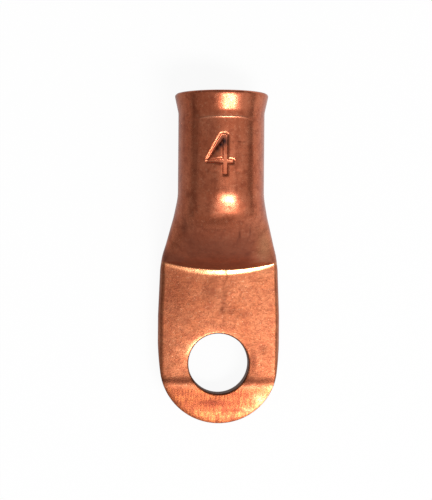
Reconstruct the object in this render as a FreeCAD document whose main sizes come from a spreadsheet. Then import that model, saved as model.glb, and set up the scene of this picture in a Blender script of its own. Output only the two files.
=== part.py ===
import FreeCAD, Part
import math
import os
import Sketcher
from FreeCAD import Placement, Rotation, Vector

# Copper cable lug for 4 AWG wire and a 1/4 inch (M6) stud, pressed from one length of drawn tube.
# The stud hole's axis meets the palm's underside at the origin. +Y runs to the wire mouth, +Z is up,
# and the palm's flat underside lies on Z = 0, level with the lowest line of the round barrel.

doc = FreeCAD.newDocument("cable_lug")
sheet = doc.addObject("Spreadsheet::Sheet", "Sizes")

SIZES = [
    # Drawn tube and the belled wire mouth
    ("barrel_diameter", 9.9),
    ("wire_bore", 7.0),
    ("mouth_reach", 31.25),
    ("flare_rise", 0.42),
    ("flare_length", 2.45),
    ("flare_bend", 2.0),
    ("lip_round", 0.32),
    ("bore_lip_round", 0.3),
    # Ramp, where the round tube is pressed down to the flat palm
    ("barrel_start", 20.0),
    ("round_run", 1.0),
    ("crown_half_angle", 82.0),
    ("belly_half_angle", 60.0),
    # Step and crease left by the press tool where the palm begins
    ("crease_reach", 11.0),
    ("crease_radius", 26.0),
    ("crease_band", 0.55),
    ("crease_lift_radius", 3.0),
    ("step_angle", 60.0),
    # Palm
    ("palm_thickness", 2.8),
    ("press_squeeze", 0.45),
    ("palm_width", 14.24),
    ("neck_draw_in", 0.19),
    ("full_width_reach", 5.6),
    ("stud_hole", 7.05),
    ("stud_hole_round", 0.2),
    # Blanked and rolled tip
    ("tip_reach", 7.0),
    ("tip_draw_in", 0.27),
    ("flank_radius", 36.0),
    ("blank_margin", 0.03),
    ("tip_crease_reach", 1.85),
    ("tip_drop", 0.6),
    ("tip_roll_radius", 50.0),
    # Wire cavity beyond the bore
    ("cavity_setback", 1.0),
    ("slit_height", 0.16),
    ("slit_inset", 0.2),
]

# Pressed sections of the ramp, each a share of the way from the round barrel (0) to the palm (1):
# where it stands, how far it has spread, fallen, tightened its folds and lowered them.
PRESSED = [
    ("first", 0.27, 0.20, 0.091, 0.465, 0.197),
    ("second", 0.43, 0.40, 0.260, 0.690, 0.352),
    ("third", 0.63, 0.66, 0.472, 0.887, 0.620),
    ("fourth", 0.81, 0.90, 0.683, 0.972, 0.915),
]
SHARES = ("stand", "spread", "fall", "tighten", "lower")

row = 0
for name, value in SIZES:
    row += 1
    sheet.set("A%d" % row, name)
    sheet.set("B%d" % row, str(value))
    sheet.setAlias("B%d" % row, name)
for station in PRESSED:
    for share, value in zip(SHARES, station[1:]):
        row += 1
        name = station[0] + "_" + share
        sheet.set("A%d" % row, name)
        sheet.set("B%d" % row, str(value))
        sheet.setAlias("B%d" % row, name)
doc.recompute()

body = doc.addObject("PartDesign::Body", "cable_lug")
body.Label = "cable_lug"
body.Placement = Placement(Vector(0, 0, 0), Rotation())

WALL = "((Sizes.barrel_diameter - Sizes.wire_bore) / 2)"
BARREL_RADIUS = "Sizes.barrel_diameter / 2"
FLARE_RADIUS = "(Sizes.barrel_diameter / 2 + Sizes.flare_rise)"
FOLD_RADIUS = "(Sizes.palm_thickness + Sizes.press_squeeze) / 2"
NECK_HALF = "(Sizes.palm_width / 2 - Sizes.neck_draw_in)"
PALM_START = "(Sizes.crease_reach - Sizes.crease_band)"
ROUND_END = "(Sizes.barrel_start + Sizes.round_run)"
BELL_START = "(Sizes.mouth_reach - Sizes.flare_length)"
BORE_RADIUS = "Sizes.wire_bore / 2"
BORE_BEND = "(Sizes.flare_bend + " + WALL + ")"
BORE_LIP_OUT = "(" + FLARE_RADIUS + " - " + WALL + " + Sizes.bore_lip_round)"
BLANK_HALF = "(Sizes.palm_width / 2 + Sizes.blank_margin)"
TIP_RADIUS = "(" + BLANK_HALF + " - Sizes.tip_draw_in)"
OVERRUN = "2"
ROLL_PAST = "1"
TIP_PAST = "(Sizes.tip_reach + " + ROLL_PAST + ")"

PRESS_SWEEP = 60
ON_WALL = 0.001
LEAST_CHANGE = 0.001

ORIGIN = (-1, 1)
ACROSS = -1
UPRIGHT = -2
START, END, CENTRE = 1, 2, 3


def measure(expression):
    return float(sheet.evalExpression(expression))


def sketch_on(name, role, right="0", up="0", forward="0"):
    plane = [item for item in body.Origin.OriginFeatures if item.Role == role][0]
    sketch = body.newObject("Sketcher::SketchObject", name)
    sketch.AttachmentSupport = [(plane, "")]
    sketch.MapMode = "FlatFace"
    sketch.setExpression("AttachmentOffset.Base.x", right)
    sketch.setExpression("AttachmentOffset.Base.y", up)
    sketch.setExpression("AttachmentOffset.Base.z", forward)
    return sketch


def line(sketch, start, end):
    return sketch.addGeometry(Part.LineSegment(Vector(*start), Vector(*end)))


def arc(sketch, centre, radius, first_angle, last_angle):
    circle = Part.Circle(Vector(*centre), Vector(0, 0, 1), radius)
    return sketch.addGeometry(Part.ArcOfCircle(circle, first_angle, last_angle))


def tie(sketch, kind, *places):
    sketch.addConstraint(Sketcher.Constraint(kind, *places))


def bind(sketch, name, expression, kind, *places):
    value = measure(expression)
    if kind == "Angle":
        value = math.radians(value)
        expression = "(" + expression + ") * 1 deg"
    index = sketch.addConstraint(Sketcher.Constraint(kind, *places, value))
    sketch.renameConstraint(index, name)
    sketch.setExpression("Constraints." + name, expression)


def join(sketch, *edges):
    for edge, following in zip(edges, edges[1:] + edges[:1]):
        tie(sketch, "Coincident", edge, END, following, START)


def smooth(sketch, *edges):
    for edge, following in zip(edges, edges[1:] + edges[:1]):
        tie(sketch, "Tangent", edge, END, following, START)


# A round section, split into four arcs at the places that later become crown, folds and belly.
def round_section(name, reach, radius, sink="0"):
    sketch = sketch_on(name, "XZ_Plane", up=sink, forward="-" + reach)
    r = measure(radius)
    crown = math.radians(measure("Sizes.crown_half_angle"))
    belly = math.radians(measure("Sizes.belly_half_angle"))
    quarter = math.pi / 2
    centre = (0, r, 0)
    right = arc(sketch, centre, r, belly - quarter, quarter - crown)
    top = arc(sketch, centre, r, quarter - crown, quarter + crown)
    left = arc(sketch, centre, r, quarter + crown, 3 * quarter - belly)
    bottom = arc(sketch, centre, r, 3 * quarter - belly, 3 * quarter + belly)
    join(sketch, right, top, left, bottom)
    tie(sketch, "Coincident", right, CENTRE, top, CENTRE)
    tie(sketch, "Coincident", right, CENTRE, left, CENTRE)
    tie(sketch, "Equal", right, bottom)
    tie(sketch, "PointOnObject", right, CENTRE, UPRIGHT)
    bind(sketch, "centre_height", radius, "DistanceY", *ORIGIN, right, CENTRE)
    bind(sketch, "radius", radius, "Radius", right)
    tie(sketch, "Horizontal", right, END, left, START)
    tie(sketch, "Horizontal", left, END, right, START)
    crown_rise = "(" + radius + ") * cos(Sizes.crown_half_angle)"
    belly_fall = "(" + radius + ") * cos(Sizes.belly_half_angle)"
    bind(sketch, "crown_rise", crown_rise, "DistanceY", right, CENTRE, right, END)
    bind(sketch, "belly_fall", belly_fall, "DistanceY", right, START, right, CENTRE)
    return sketch


def share_between(start, end, share):
    return "(" + start + " + Sizes." + share + " * (" + end + " - " + start + "))"


# A pressed section of the tube: broad crown arc, two tight folds and an almost flat belly.
# An inset draws the same section inside the wall, with every arc on its old centre, and there
# no fold gets tighter than the round at the ends of the closed slit.
def pressed_section(name, station, inset="0"):
    reach = share_between("Sizes.barrel_start", PALM_START, station + "_stand")
    half_width = share_between(BARREL_RADIUS, NECK_HALF, station + "_spread")
    height = share_between("Sizes.barrel_diameter", "Sizes.palm_thickness", station + "_fall")
    outer_fold = share_between(BARREL_RADIUS, FOLD_RADIUS, station + "_tighten")
    outer_fold_height = share_between(BARREL_RADIUS, FOLD_RADIUS, station + "_lower")
    fold = "max(" + outer_fold + " - " + inset + "; Sizes.slit_height / 2)"
    fold_out = "(" + half_width + " - " + inset + " - " + fold + ")"
    fold_height = "(" + outer_fold_height + " - " + inset + ")"
    crown_height = "(" + height + " - 2 * " + inset + ")"
    sketch = sketch_on(name, "XZ_Plane", up=inset, forward="-" + reach)

    r, x, z, crown = [measure(item) for item in (fold, fold_out, fold_height, crown_height)]
    top_radius = (x ** 2 + (crown - z) ** 2 - r ** 2) / (2 * (crown - z - r))
    belly_radius = (x ** 2 + z ** 2 - r ** 2) / (2 * (z - r))
    top_turn = math.atan2(x, z - crown + top_radius)
    belly_turn = math.atan2(x, belly_radius - z)
    quarter = math.pi / 2
    right = arc(sketch, (x, z, 0), r, belly_turn - quarter, quarter - top_turn)
    top = arc(sketch, (0, crown - top_radius, 0), top_radius, quarter - top_turn, quarter + top_turn)
    left = arc(sketch, (-x, z, 0), r, quarter + top_turn, 3 * quarter - belly_turn)
    bottom = arc(sketch, (0, belly_radius, 0), belly_radius,
                 3 * quarter - belly_turn, 3 * quarter + belly_turn)
    smooth(sketch, right, top, left, bottom)
    tie(sketch, "PointOnObject", top, CENTRE, UPRIGHT)
    tie(sketch, "PointOnObject", bottom, CENTRE, UPRIGHT)
    tie(sketch, "PointOnObject", *ORIGIN, bottom)
    tie(sketch, "Equal", right, left)
    bind(sketch, "fold", fold, "Radius", right)
    bind(sketch, "fold_out", fold_out, "DistanceX", *ORIGIN, right, CENTRE)
    bind(sketch, "fold_height", fold_height, "DistanceY", *ORIGIN, right, CENTRE)
    crown_point = sketch.addGeometry(Part.Point(Vector(0, crown, 0)))
    tie(sketch, "PointOnObject", crown_point, START, UPRIGHT)
    tie(sketch, "PointOnObject", crown_point, START, top)
    bind(sketch, "crown_height", crown_height, "DistanceY", *ORIGIN, crown_point, START)
    return sketch


# A palm section: flat belly and crown with a full fold at each side.
def palm_section(name, reach, half_width):
    sketch = sketch_on(name, "XZ_Plane", forward="-" + reach)
    r = measure(FOLD_RADIUS)
    x = measure(half_width) - r
    quarter = math.pi / 2
    right = arc(sketch, (x, r, 0), r, -quarter, quarter)
    top = line(sketch, (x, 2 * r, 0), (-x, 2 * r, 0))
    left = arc(sketch, (-x, r, 0), r, quarter, 3 * quarter)
    bottom = line(sketch, (-x, 0, 0), (x, 0, 0))
    smooth(sketch, right, top, left, bottom)
    tie(sketch, "PointOnObject", bottom, START, ACROSS)
    tie(sketch, "PointOnObject", bottom, END, ACROSS)
    tie(sketch, "Horizontal", top)
    bind(sketch, "fold", FOLD_RADIUS, "Radius", right)
    bind(sketch, "right_out", half_width + " - " + FOLD_RADIUS, "DistanceX", *ORIGIN, right, CENTRE)
    bind(sketch, "left_out", half_width + " - " + FOLD_RADIUS, "DistanceX", left, CENTRE, *ORIGIN)
    return sketch


def loft(kind, name, sections):
    feature = body.newObject("PartDesign::" + kind, name)
    feature.Profile = sections[0]
    feature.Sections = sections[1:]
    return feature


# The tube as pressed: round, then sections that keep the tube's girth while they spread and fall.
ramp_sections = [
    round_section("round_outer", ROUND_END, BARREL_RADIUS),
    round_section("ramp_start_outer", "Sizes.barrel_start", BARREL_RADIUS),
]
for station in PRESSED:
    ramp_sections.append(pressed_section(station[0] + "_outer", station[0]))
neck = palm_section("neck_outer", PALM_START, NECK_HALF)
loft("AdditiveLoft", "ramp", ramp_sections)
loft("AdditiveLoft", "ramp_foot", [ramp_sections[-1], neck])

# The palm strip runs on past the tip, and is blanked to its outline further down.
widest = palm_section("widest_outer", "Sizes.full_width_reach", "Sizes.palm_width / 2")
strip_end = palm_section("strip_end_outer", "(-Sizes.tip_reach - " + OVERRUN + ")", "Sizes.palm_width / 2")
loft("AdditiveLoft", "palm_neck", [neck, widest])
loft("AdditiveLoft", "palm_strip", [widest, strip_end])


# The corner angle of the bell: the cone's straight line touches the soft bend and the lip's round.
def cone_angle(along, outwards, reach_round):
    return math.atan2(outwards, along) + math.asin(reach_round / math.hypot(along, outwards))


# Half profile of the barrel and its belled mouth, from the barrel's axis outwards.
def barrel_profile():
    sketch = sketch_on("barrel_profile", "YZ_Plane", up=BARREL_RADIUS)
    start, mouth, bell = [measure(item) for item in (ROUND_END, "Sizes.mouth_reach", BELL_START)]
    r, bend, lip = [measure(item) for item in (BARREL_RADIUS, "Sizes.flare_bend", "Sizes.lip_round")]
    lip_centre = (mouth - lip, measure(FLARE_RADIUS) - lip, 0)
    bend_centre = (bell, r + bend, 0)
    turn = cone_angle(lip_centre[0] - bell, lip_centre[1] - bend_centre[1], bend + lip)
    quarter = math.pi / 2
    cone_start = (lip_centre[0] - lip * math.sin(turn), lip_centre[1] + lip * math.cos(turn), 0)
    cone_end = (bell + bend * math.sin(turn), bend_centre[1] - bend * math.cos(turn), 0)
    axis = line(sketch, (start, 0, 0), (mouth, 0, 0))
    face = line(sketch, (mouth, 0, 0), (mouth, lip_centre[1], 0))
    lip_arc = arc(sketch, lip_centre, lip, 0, quarter + turn)
    cone = line(sketch, cone_start, cone_end)
    bend_arc = arc(sketch, bend_centre, bend, -quarter, turn - quarter)
    skin = line(sketch, (bell, r, 0), (start, r, 0))
    back = line(sketch, (start, r, 0), (start, 0, 0))
    tie(sketch, "Coincident", axis, END, face, START)
    tie(sketch, "Tangent", face, END, lip_arc, START)
    tie(sketch, "Tangent", lip_arc, END, cone, START)
    tie(sketch, "Tangent", cone, END, bend_arc, END)
    tie(sketch, "Tangent", bend_arc, START, skin, START)
    tie(sketch, "Coincident", skin, END, back, START)
    tie(sketch, "Coincident", back, END, axis, START)
    tie(sketch, "PointOnObject", axis, START, ACROSS)
    for edge in (axis, skin):
        tie(sketch, "Horizontal", edge)
    for edge in (face, back):
        tie(sketch, "Vertical", edge)
    bind(sketch, "round_end", ROUND_END, "DistanceX", *ORIGIN, axis, START)
    bind(sketch, "mouth", "Sizes.mouth_reach", "DistanceX", *ORIGIN, axis, END)
    bind(sketch, "bell_start", BELL_START, "DistanceX", *ORIGIN, skin, START)
    bind(sketch, "barrel_radius", BARREL_RADIUS, "DistanceY", *ORIGIN, skin, START)
    bind(sketch, "bend", "Sizes.flare_bend", "Radius", bend_arc)
    bind(sketch, "lip", "Sizes.lip_round", "Radius", lip_arc)
    bind(sketch, "lip_out", FLARE_RADIUS + " - Sizes.lip_round", "DistanceY", *ORIGIN, lip_arc, CENTRE)
    return sketch


# Half profile of the wire bore, whose bell lies inside the outer one, with a rounded entry.
def bore_profile():
    sketch = sketch_on("bore_profile", "YZ_Plane", up=BARREL_RADIUS)
    start, mouth, bell = [measure(item) for item in (ROUND_END, "Sizes.mouth_reach", BELL_START)]
    r, bend, lip = [measure(item) for item in (BORE_RADIUS, BORE_BEND, "Sizes.bore_lip_round")]
    past = mouth + measure(OVERRUN)
    lip_centre = (mouth - lip, measure(BORE_LIP_OUT), 0)
    bend_centre = (bell, r + bend, 0)
    turn = cone_angle(lip_centre[0] - bell, lip_centre[1] - bend_centre[1], bend - lip)
    quarter = math.pi / 2
    cone_start = (bell + bend * math.sin(turn), bend_centre[1] - bend * math.cos(turn), 0)
    cone_end = (lip_centre[0] + lip * math.sin(turn), lip_centre[1] - lip * math.cos(turn), 0)
    axis = line(sketch, (start, 0, 0), (past, 0, 0))
    front = line(sketch, (past, 0, 0), (past, lip_centre[1], 0))
    entry = line(sketch, (past, lip_centre[1], 0), (mouth, lip_centre[1], 0))
    lip_arc = arc(sketch, lip_centre, lip, turn - quarter, 0)
    cone = line(sketch, cone_start, cone_end)
    bend_arc = arc(sketch, bend_centre, bend, -quarter, turn - quarter)
    skin = line(sketch, (bell, r, 0), (start, r, 0))
    back = line(sketch, (start, r, 0), (start, 0, 0))
    tie(sketch, "Coincident", axis, END, front, START)
    tie(sketch, "Coincident", front, END, entry, START)
    tie(sketch, "Coincident", entry, END, lip_arc, END)
    tie(sketch, "Tangent", lip_arc, START, cone, END)
    tie(sketch, "Tangent", cone, START, bend_arc, END)
    tie(sketch, "Tangent", bend_arc, START, skin, START)
    tie(sketch, "Coincident", skin, END, back, START)
    tie(sketch, "Coincident", back, END, axis, START)
    tie(sketch, "PointOnObject", axis, START, ACROSS)
    tie(sketch, "Horizontal", lip_arc, CENTRE, lip_arc, END)
    for edge in (axis, entry, skin):
        tie(sketch, "Horizontal", edge)
    for edge in (front, back):
        tie(sketch, "Vertical", edge)
    bind(sketch, "round_end", ROUND_END, "DistanceX", *ORIGIN, axis, START)
    bind(sketch, "past_mouth", "Sizes.mouth_reach + " + OVERRUN, "DistanceX", *ORIGIN, axis, END)
    bind(sketch, "mouth", "Sizes.mouth_reach", "DistanceX", *ORIGIN, entry, END)
    bind(sketch, "bell_start", BELL_START, "DistanceX", *ORIGIN, skin, START)
    bind(sketch, "bore_radius", BORE_RADIUS, "DistanceY", *ORIGIN, skin, START)
    bind(sketch, "bend", BORE_BEND, "Radius", bend_arc)
    bind(sketch, "lip", "Sizes.bore_lip_round", "Radius", lip_arc)
    bind(sketch, "lip_out", BORE_LIP_OUT, "DistanceY", *ORIGIN, lip_arc, CENTRE)
    return sketch


# Side profile of the press tool: flat, a faint lift, then the sharp crease and the steep step.
# It turns about an upright axis far up the barrel, so the crease bows towards the stud hole,
# and it squeezes the folded strip a little flatter along the whole palm.
def press_profile():
    centre_reach = "(Sizes.crease_reach + Sizes.crease_radius)"
    past_tip = centre_reach + " + Sizes.tip_reach + 2 * " + OVERRUN
    sketch = sketch_on("press_profile", "YZ_Plane", right=centre_reach)
    crease, band, lift, floor = [measure(item) for item in (
        "Sizes.crease_radius", "Sizes.crease_band", "Sizes.crease_lift_radius", "Sizes.palm_thickness")]
    slope = math.radians(measure("Sizes.step_angle"))
    far = measure(past_tip)
    ceiling = measure("Sizes.barrel_diameter + " + OVERRUN)
    rise = math.asin(band / lift)
    corner = (-crease, floor + lift * (1 - math.cos(rise)), 0)
    step_top = (-crease + (ceiling - corner[1]) / math.tan(slope), ceiling, 0)
    flat = line(sketch, (-far, floor, 0), (-crease - band, floor, 0))
    lift_arc = arc(sketch, (-crease - band, floor + lift, 0), lift, -math.pi / 2, rise - math.pi / 2)
    step = line(sketch, corner, step_top)
    top = line(sketch, step_top, (-far, ceiling, 0))
    back = line(sketch, (-far, ceiling, 0), (-far, floor, 0))
    tie(sketch, "Tangent", flat, END, lift_arc, START)
    tie(sketch, "Coincident", lift_arc, END, step, START)
    tie(sketch, "Coincident", step, END, top, START)
    tie(sketch, "Coincident", top, END, back, START)
    tie(sketch, "Coincident", back, END, flat, START)
    tie(sketch, "Horizontal", flat)
    tie(sketch, "Horizontal", top)
    tie(sketch, "Vertical", back)
    bind(sketch, "floor", "Sizes.palm_thickness", "DistanceY", *ORIGIN, flat, START)
    bind(sketch, "far", past_tip, "DistanceX", flat, START, *ORIGIN)
    bind(sketch, "crease", "Sizes.crease_radius", "DistanceX", step, START, *ORIGIN)
    bind(sketch, "band", "Sizes.crease_band", "DistanceX", flat, END, step, START)
    bind(sketch, "lift", "Sizes.crease_lift_radius", "Radius", lift_arc)
    bind(sketch, "ceiling", "Sizes.barrel_diameter + " + OVERRUN, "DistanceY", *ORIGIN, top, START)
    bind(sketch, "step_angle", "Sizes.step_angle", "Angle", step)
    return sketch


# What the blanking die shears off: everything outside the two long flank arcs and the end arc.
def blank_outline():
    sketch = sketch_on("blank_outline", "XY_Plane", forward="-" + OVERRUN)
    half, end_r, flank_r, tip = [measure(item) for item in (
        BLANK_HALF, TIP_RADIUS, "Sizes.flank_radius", "Sizes.tip_reach")]
    side, low = half + measure(OVERRUN), -tip - measure(OVERRUN)
    flank_x = half - flank_r
    end_y = end_r - tip
    flank_y = end_y + math.sqrt((flank_r - end_r) ** 2 - flank_x ** 2)
    turn = math.asin((flank_y - end_y) / (flank_r - end_r))
    left_flank = arc(sketch, (-flank_x, flank_y, 0), flank_r, math.pi, math.pi + turn)
    end = arc(sketch, (0, end_y, 0), end_r, math.pi + turn, 2 * math.pi - turn)
    right_flank = arc(sketch, (flank_x, flank_y, 0), flank_r, -turn, 0)
    right_top = line(sketch, (half, flank_y, 0), (side, flank_y, 0))
    right_side = line(sketch, (side, flank_y, 0), (side, low, 0))
    bottom = line(sketch, (side, low, 0), (-side, low, 0))
    left_side = line(sketch, (-side, low, 0), (-side, flank_y, 0))
    left_top = line(sketch, (-side, flank_y, 0), (-half, flank_y, 0))
    tie(sketch, "Tangent", left_flank, END, end, START)
    tie(sketch, "Tangent", end, END, right_flank, START)
    tie(sketch, "Coincident", right_flank, END, right_top, START)
    tie(sketch, "Coincident", right_top, END, right_side, START)
    tie(sketch, "Coincident", right_side, END, bottom, START)
    tie(sketch, "Coincident", bottom, END, left_side, START)
    tie(sketch, "Coincident", left_side, END, left_top, START)
    tie(sketch, "Coincident", left_top, END, left_flank, START)
    tie(sketch, "PointOnObject", end, CENTRE, UPRIGHT)
    tie(sketch, "Equal", left_flank, right_flank)
    tie(sketch, "Horizontal", left_flank, CENTRE, left_flank, START)
    tie(sketch, "Horizontal", right_flank, CENTRE, right_flank, END)
    tie(sketch, "Horizontal", left_flank, START, right_flank, END)
    for edge in (right_top, left_top, bottom):
        tie(sketch, "Horizontal", edge)
    for edge in (right_side, left_side):
        tie(sketch, "Vertical", edge)
    tip_point = sketch.addGeometry(Part.Point(Vector(0, -tip, 0)))
    tie(sketch, "PointOnObject", tip_point, START, UPRIGHT)
    tie(sketch, "PointOnObject", tip_point, START, end)
    bind(sketch, "tip_reach", "Sizes.tip_reach", "DistanceY", tip_point, START, *ORIGIN)
    bind(sketch, "flank", "Sizes.flank_radius", "Radius", right_flank)
    bind(sketch, "end", TIP_RADIUS, "Radius", end)
    bind(sketch, "half", BLANK_HALF, "DistanceX", *ORIGIN, right_flank, END)
    bind(sketch, "right", BLANK_HALF + " + " + OVERRUN, "DistanceX", *ORIGIN, right_side, START)
    bind(sketch, "left", BLANK_HALF + " + " + OVERRUN, "DistanceX", left_side, START, *ORIGIN)
    bind(sketch, "low", "Sizes.tip_reach + " + OVERRUN, "DistanceY", bottom, START, *ORIGIN)
    return sketch


# Side profile of what the roll-down takes off the top of the tip, past the tip's own crease.
def tip_roll_profile():
    sketch = sketch_on("tip_roll_profile", "YZ_Plane")
    near, far, top, drop, roll = [measure(item) for item in (
        "Sizes.tip_crease_reach", TIP_PAST, "Sizes.palm_thickness", "Sizes.tip_drop",
        "Sizes.tip_roll_radius")]
    chord = math.hypot(far - near, drop)
    lean = math.atan2(drop, far - near)
    half_turn = math.asin(chord / 2 / roll)
    first = math.pi / 2 + lean - half_turn
    centre = (-near - roll * math.cos(first), top - roll * math.sin(first), 0)
    above = top + measure(OVERRUN)
    rolled = arc(sketch, centre, roll, first, first + 2 * half_turn)
    back = line(sketch, (-far, top - drop, 0), (-far, above, 0))
    lid = line(sketch, (-far, above, 0), (-near, above, 0))
    front = line(sketch, (-near, above, 0), (-near, top, 0))
    join(sketch, rolled, back, lid, front)
    tie(sketch, "Vertical", back)
    tie(sketch, "Vertical", front)
    tie(sketch, "Horizontal", lid)
    bind(sketch, "near", "Sizes.tip_crease_reach", "DistanceX", front, END, *ORIGIN)
    bind(sketch, "far", TIP_PAST, "DistanceX", back, START, *ORIGIN)
    bind(sketch, "top", "Sizes.palm_thickness", "DistanceY", *ORIGIN, front, END)
    bind(sketch, "drop", "Sizes.tip_drop", "DistanceY", back, START, front, END)
    bind(sketch, "lid", "Sizes.palm_thickness + " + OVERRUN, "DistanceY", *ORIGIN, lid, START)
    bind(sketch, "roll", "Sizes.tip_roll_radius", "Radius", rolled)
    return sketch


# Where the cavity closes: a slit between the two pressed walls, with rounded ends.
def slit_section():
    reach = "(Sizes.crease_reach + Sizes.cavity_setback)"
    half = "(" + NECK_HALF + " - " + WALL + " - Sizes.slit_inset)"
    sketch = sketch_on("slit_cavity", "XZ_Plane", up=WALL, forward="-" + reach)
    high, wide = measure("Sizes.slit_height"), measure(half)
    r = high / 2
    quarter = math.pi / 2
    right = arc(sketch, (wide - r, r, 0), r, -quarter, quarter)
    top = line(sketch, (wide - r, high, 0), (r - wide, high, 0))
    left = arc(sketch, (r - wide, r, 0), r, quarter, 3 * quarter)
    bottom = line(sketch, (r - wide, 0, 0), (wide - r, 0, 0))
    smooth(sketch, right, top, left, bottom)
    tie(sketch, "PointOnObject", bottom, START, ACROSS)
    tie(sketch, "PointOnObject", bottom, END, ACROSS)
    tie(sketch, "Horizontal", top)
    bind(sketch, "right_out", half + " - Sizes.slit_height / 2", "DistanceX", *ORIGIN, right, CENTRE)
    bind(sketch, "left_out", half + " - Sizes.slit_height / 2", "DistanceX", left, CENTRE, *ORIGIN)
    bind(sketch, "height", "Sizes.slit_height / 2", "Radius", right)
    return sketch


def turned(kind, name, sketch, axis, angle, both_ways=False):
    feature = body.newObject("PartDesign::" + kind, name)
    feature.Profile = sketch
    feature.ReferenceAxis = (sketch, [axis])
    feature.Angle = angle
    feature.Midplane = both_ways
    return feature


def pocket(name, sketch, length, side_type="One side"):
    feature = body.newObject("PartDesign::Pocket", name)
    feature.Profile = sketch
    feature.SideType = side_type
    feature.Reversed = side_type == "One side"
    feature.setExpression("Length", length)
    return feature


def stud_circle():
    sketch = sketch_on("stud_circle", "XY_Plane", forward="-" + OVERRUN)
    r = measure("Sizes.stud_hole / 2")
    rim = sketch.addGeometry(Part.Circle(Vector(0, 0, 0), Vector(0, 0, 1), r))
    tie(sketch, "Coincident", *ORIGIN, rim, CENTRE)
    bind(sketch, "radius", "Sizes.stud_hole / 2", "Radius", rim)
    return sketch


# The top rim of the stud hole, drawn in by the piercing punch.
def round_stud_rim():
    doc.recompute()
    pierced = body.Tip
    radius, middle = measure("Sizes.stud_hole / 2"), measure("Sizes.palm_thickness / 2")
    names = []
    for number, edge in enumerate(pierced.Shape.Edges, 1):
        reach = [math.hypot(vertex.X, vertex.Y) for vertex in edge.Vertexes]
        on_wall = max(reach) < radius + ON_WALL and min(reach) > radius - ON_WALL
        if on_wall and edge.BoundBox.ZMin > middle:
            names.append("Edge%d" % number)
    feature = body.newObject("PartDesign::Fillet", "stud_rim")
    feature.Base = (pierced, names)
    feature.setExpression("Radius", "Sizes.stud_hole_round")


turned("Revolution", "barrel", barrel_profile(), "H_Axis", 360)
turned("Groove", "press", press_profile(), "V_Axis", PRESS_SWEEP, both_ways=True)
pocket("blank", blank_outline(), "Sizes.palm_thickness + 2 * " + OVERRUN)
pocket("tip_roll", tip_roll_profile(), "Sizes.palm_width + " + OVERRUN, "Symmetric")
pocket("stud_bore", stud_circle(), "Sizes.palm_thickness + 2 * " + OVERRUN)
round_stud_rim()

turned("Groove", "wire_bore", bore_profile(), "H_Axis", 360)
cavity_sections = [
    round_section("round_cavity", ROUND_END, BORE_RADIUS, WALL),
    round_section("ramp_start_cavity", "Sizes.barrel_start", BORE_RADIUS, WALL),
]
for station in PRESSED[:3]:
    cavity_sections.append(pressed_section(station[0] + "_cavity", station[0], WALL))
loft("SubtractiveLoft", "cavity", cavity_sections)
loft("SubtractiveLoft", "cavity_closing", [cavity_sections[-1], slit_section()])
doc.recompute()

# Each feature is sound, and each one has changed the solid it was given.
before = 0
for feature in body.Group:
    if "Invalid" in feature.State or "Error" in feature.State:
        raise RuntimeError("%s did not build" % feature.Name)
    if feature.isDerivedFrom("PartDesign::Feature"):
        if abs(feature.Shape.Volume - before) < LEAST_CHANGE:
            raise RuntimeError("%s changed nothing" % feature.Name)
        before = feature.Shape.Volume
if body.Shape.isNull() or not body.Shape.isValid() or len(body.Shape.Solids) != 1:
    raise RuntimeError("the lug is not one sound solid")

os.makedirs("parts", exist_ok=True)
body.Shape.exportStep("parts/%s.step" % body.Label)
print("%s: %.1f cubic millimetres, %d faces" % (body.Label, body.Shape.Volume, len(body.Shape.Faces)))
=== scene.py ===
# %% [markdown]
# A copper cable lug is one length of drawn copper tube. One end stays round and belled for the wire,
# the other is pressed flat into a palm, blanked to a round tip and pierced for the stud.
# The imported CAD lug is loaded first. It could simply be given a finish, because its form is right.
# Here it is drawn again from the same sizes, as one closed skin whose mesh runs along the real edges.
# Such a skin can carry what a camera sees from a step away: soft edges, the marks of the tools, the
# stamped gauge number and the finish of the metal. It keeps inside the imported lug's box.

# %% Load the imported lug
import math

import bmesh
import bpy
import numpy as np
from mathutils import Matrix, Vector


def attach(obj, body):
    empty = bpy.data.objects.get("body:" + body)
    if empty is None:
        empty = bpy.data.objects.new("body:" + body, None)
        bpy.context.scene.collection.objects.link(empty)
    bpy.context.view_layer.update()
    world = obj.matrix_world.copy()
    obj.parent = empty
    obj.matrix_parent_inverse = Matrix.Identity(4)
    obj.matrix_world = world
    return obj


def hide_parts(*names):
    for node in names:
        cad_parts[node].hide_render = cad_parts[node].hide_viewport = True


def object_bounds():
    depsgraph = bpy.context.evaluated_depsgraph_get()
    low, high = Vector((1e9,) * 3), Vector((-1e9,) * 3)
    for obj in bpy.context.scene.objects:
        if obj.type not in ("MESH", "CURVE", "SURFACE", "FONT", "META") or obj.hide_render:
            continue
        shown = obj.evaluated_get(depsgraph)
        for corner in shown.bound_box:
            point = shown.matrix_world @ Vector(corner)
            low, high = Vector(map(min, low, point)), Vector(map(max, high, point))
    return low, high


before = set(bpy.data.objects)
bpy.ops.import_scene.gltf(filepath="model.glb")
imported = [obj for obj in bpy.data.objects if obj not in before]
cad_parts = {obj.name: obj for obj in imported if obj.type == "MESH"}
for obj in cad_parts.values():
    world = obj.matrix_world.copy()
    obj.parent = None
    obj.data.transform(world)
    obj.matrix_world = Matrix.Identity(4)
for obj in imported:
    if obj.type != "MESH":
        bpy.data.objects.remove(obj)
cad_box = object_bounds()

MM = 0.001
print("CAD box in mm:", [[round(value / MM, 2) for value in corner] for corner in cad_box])

# %% [markdown]
# All sizes are in millimetres. The barrel keeps the tube's round, the palm is two walls thick, and
# both lie level along their lowest line. The stud hole's axis is at X = Y = 0 and the barrel runs
# along Y. Numbers could be typed in where they are used, but a size with a name is changed only once.

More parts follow.
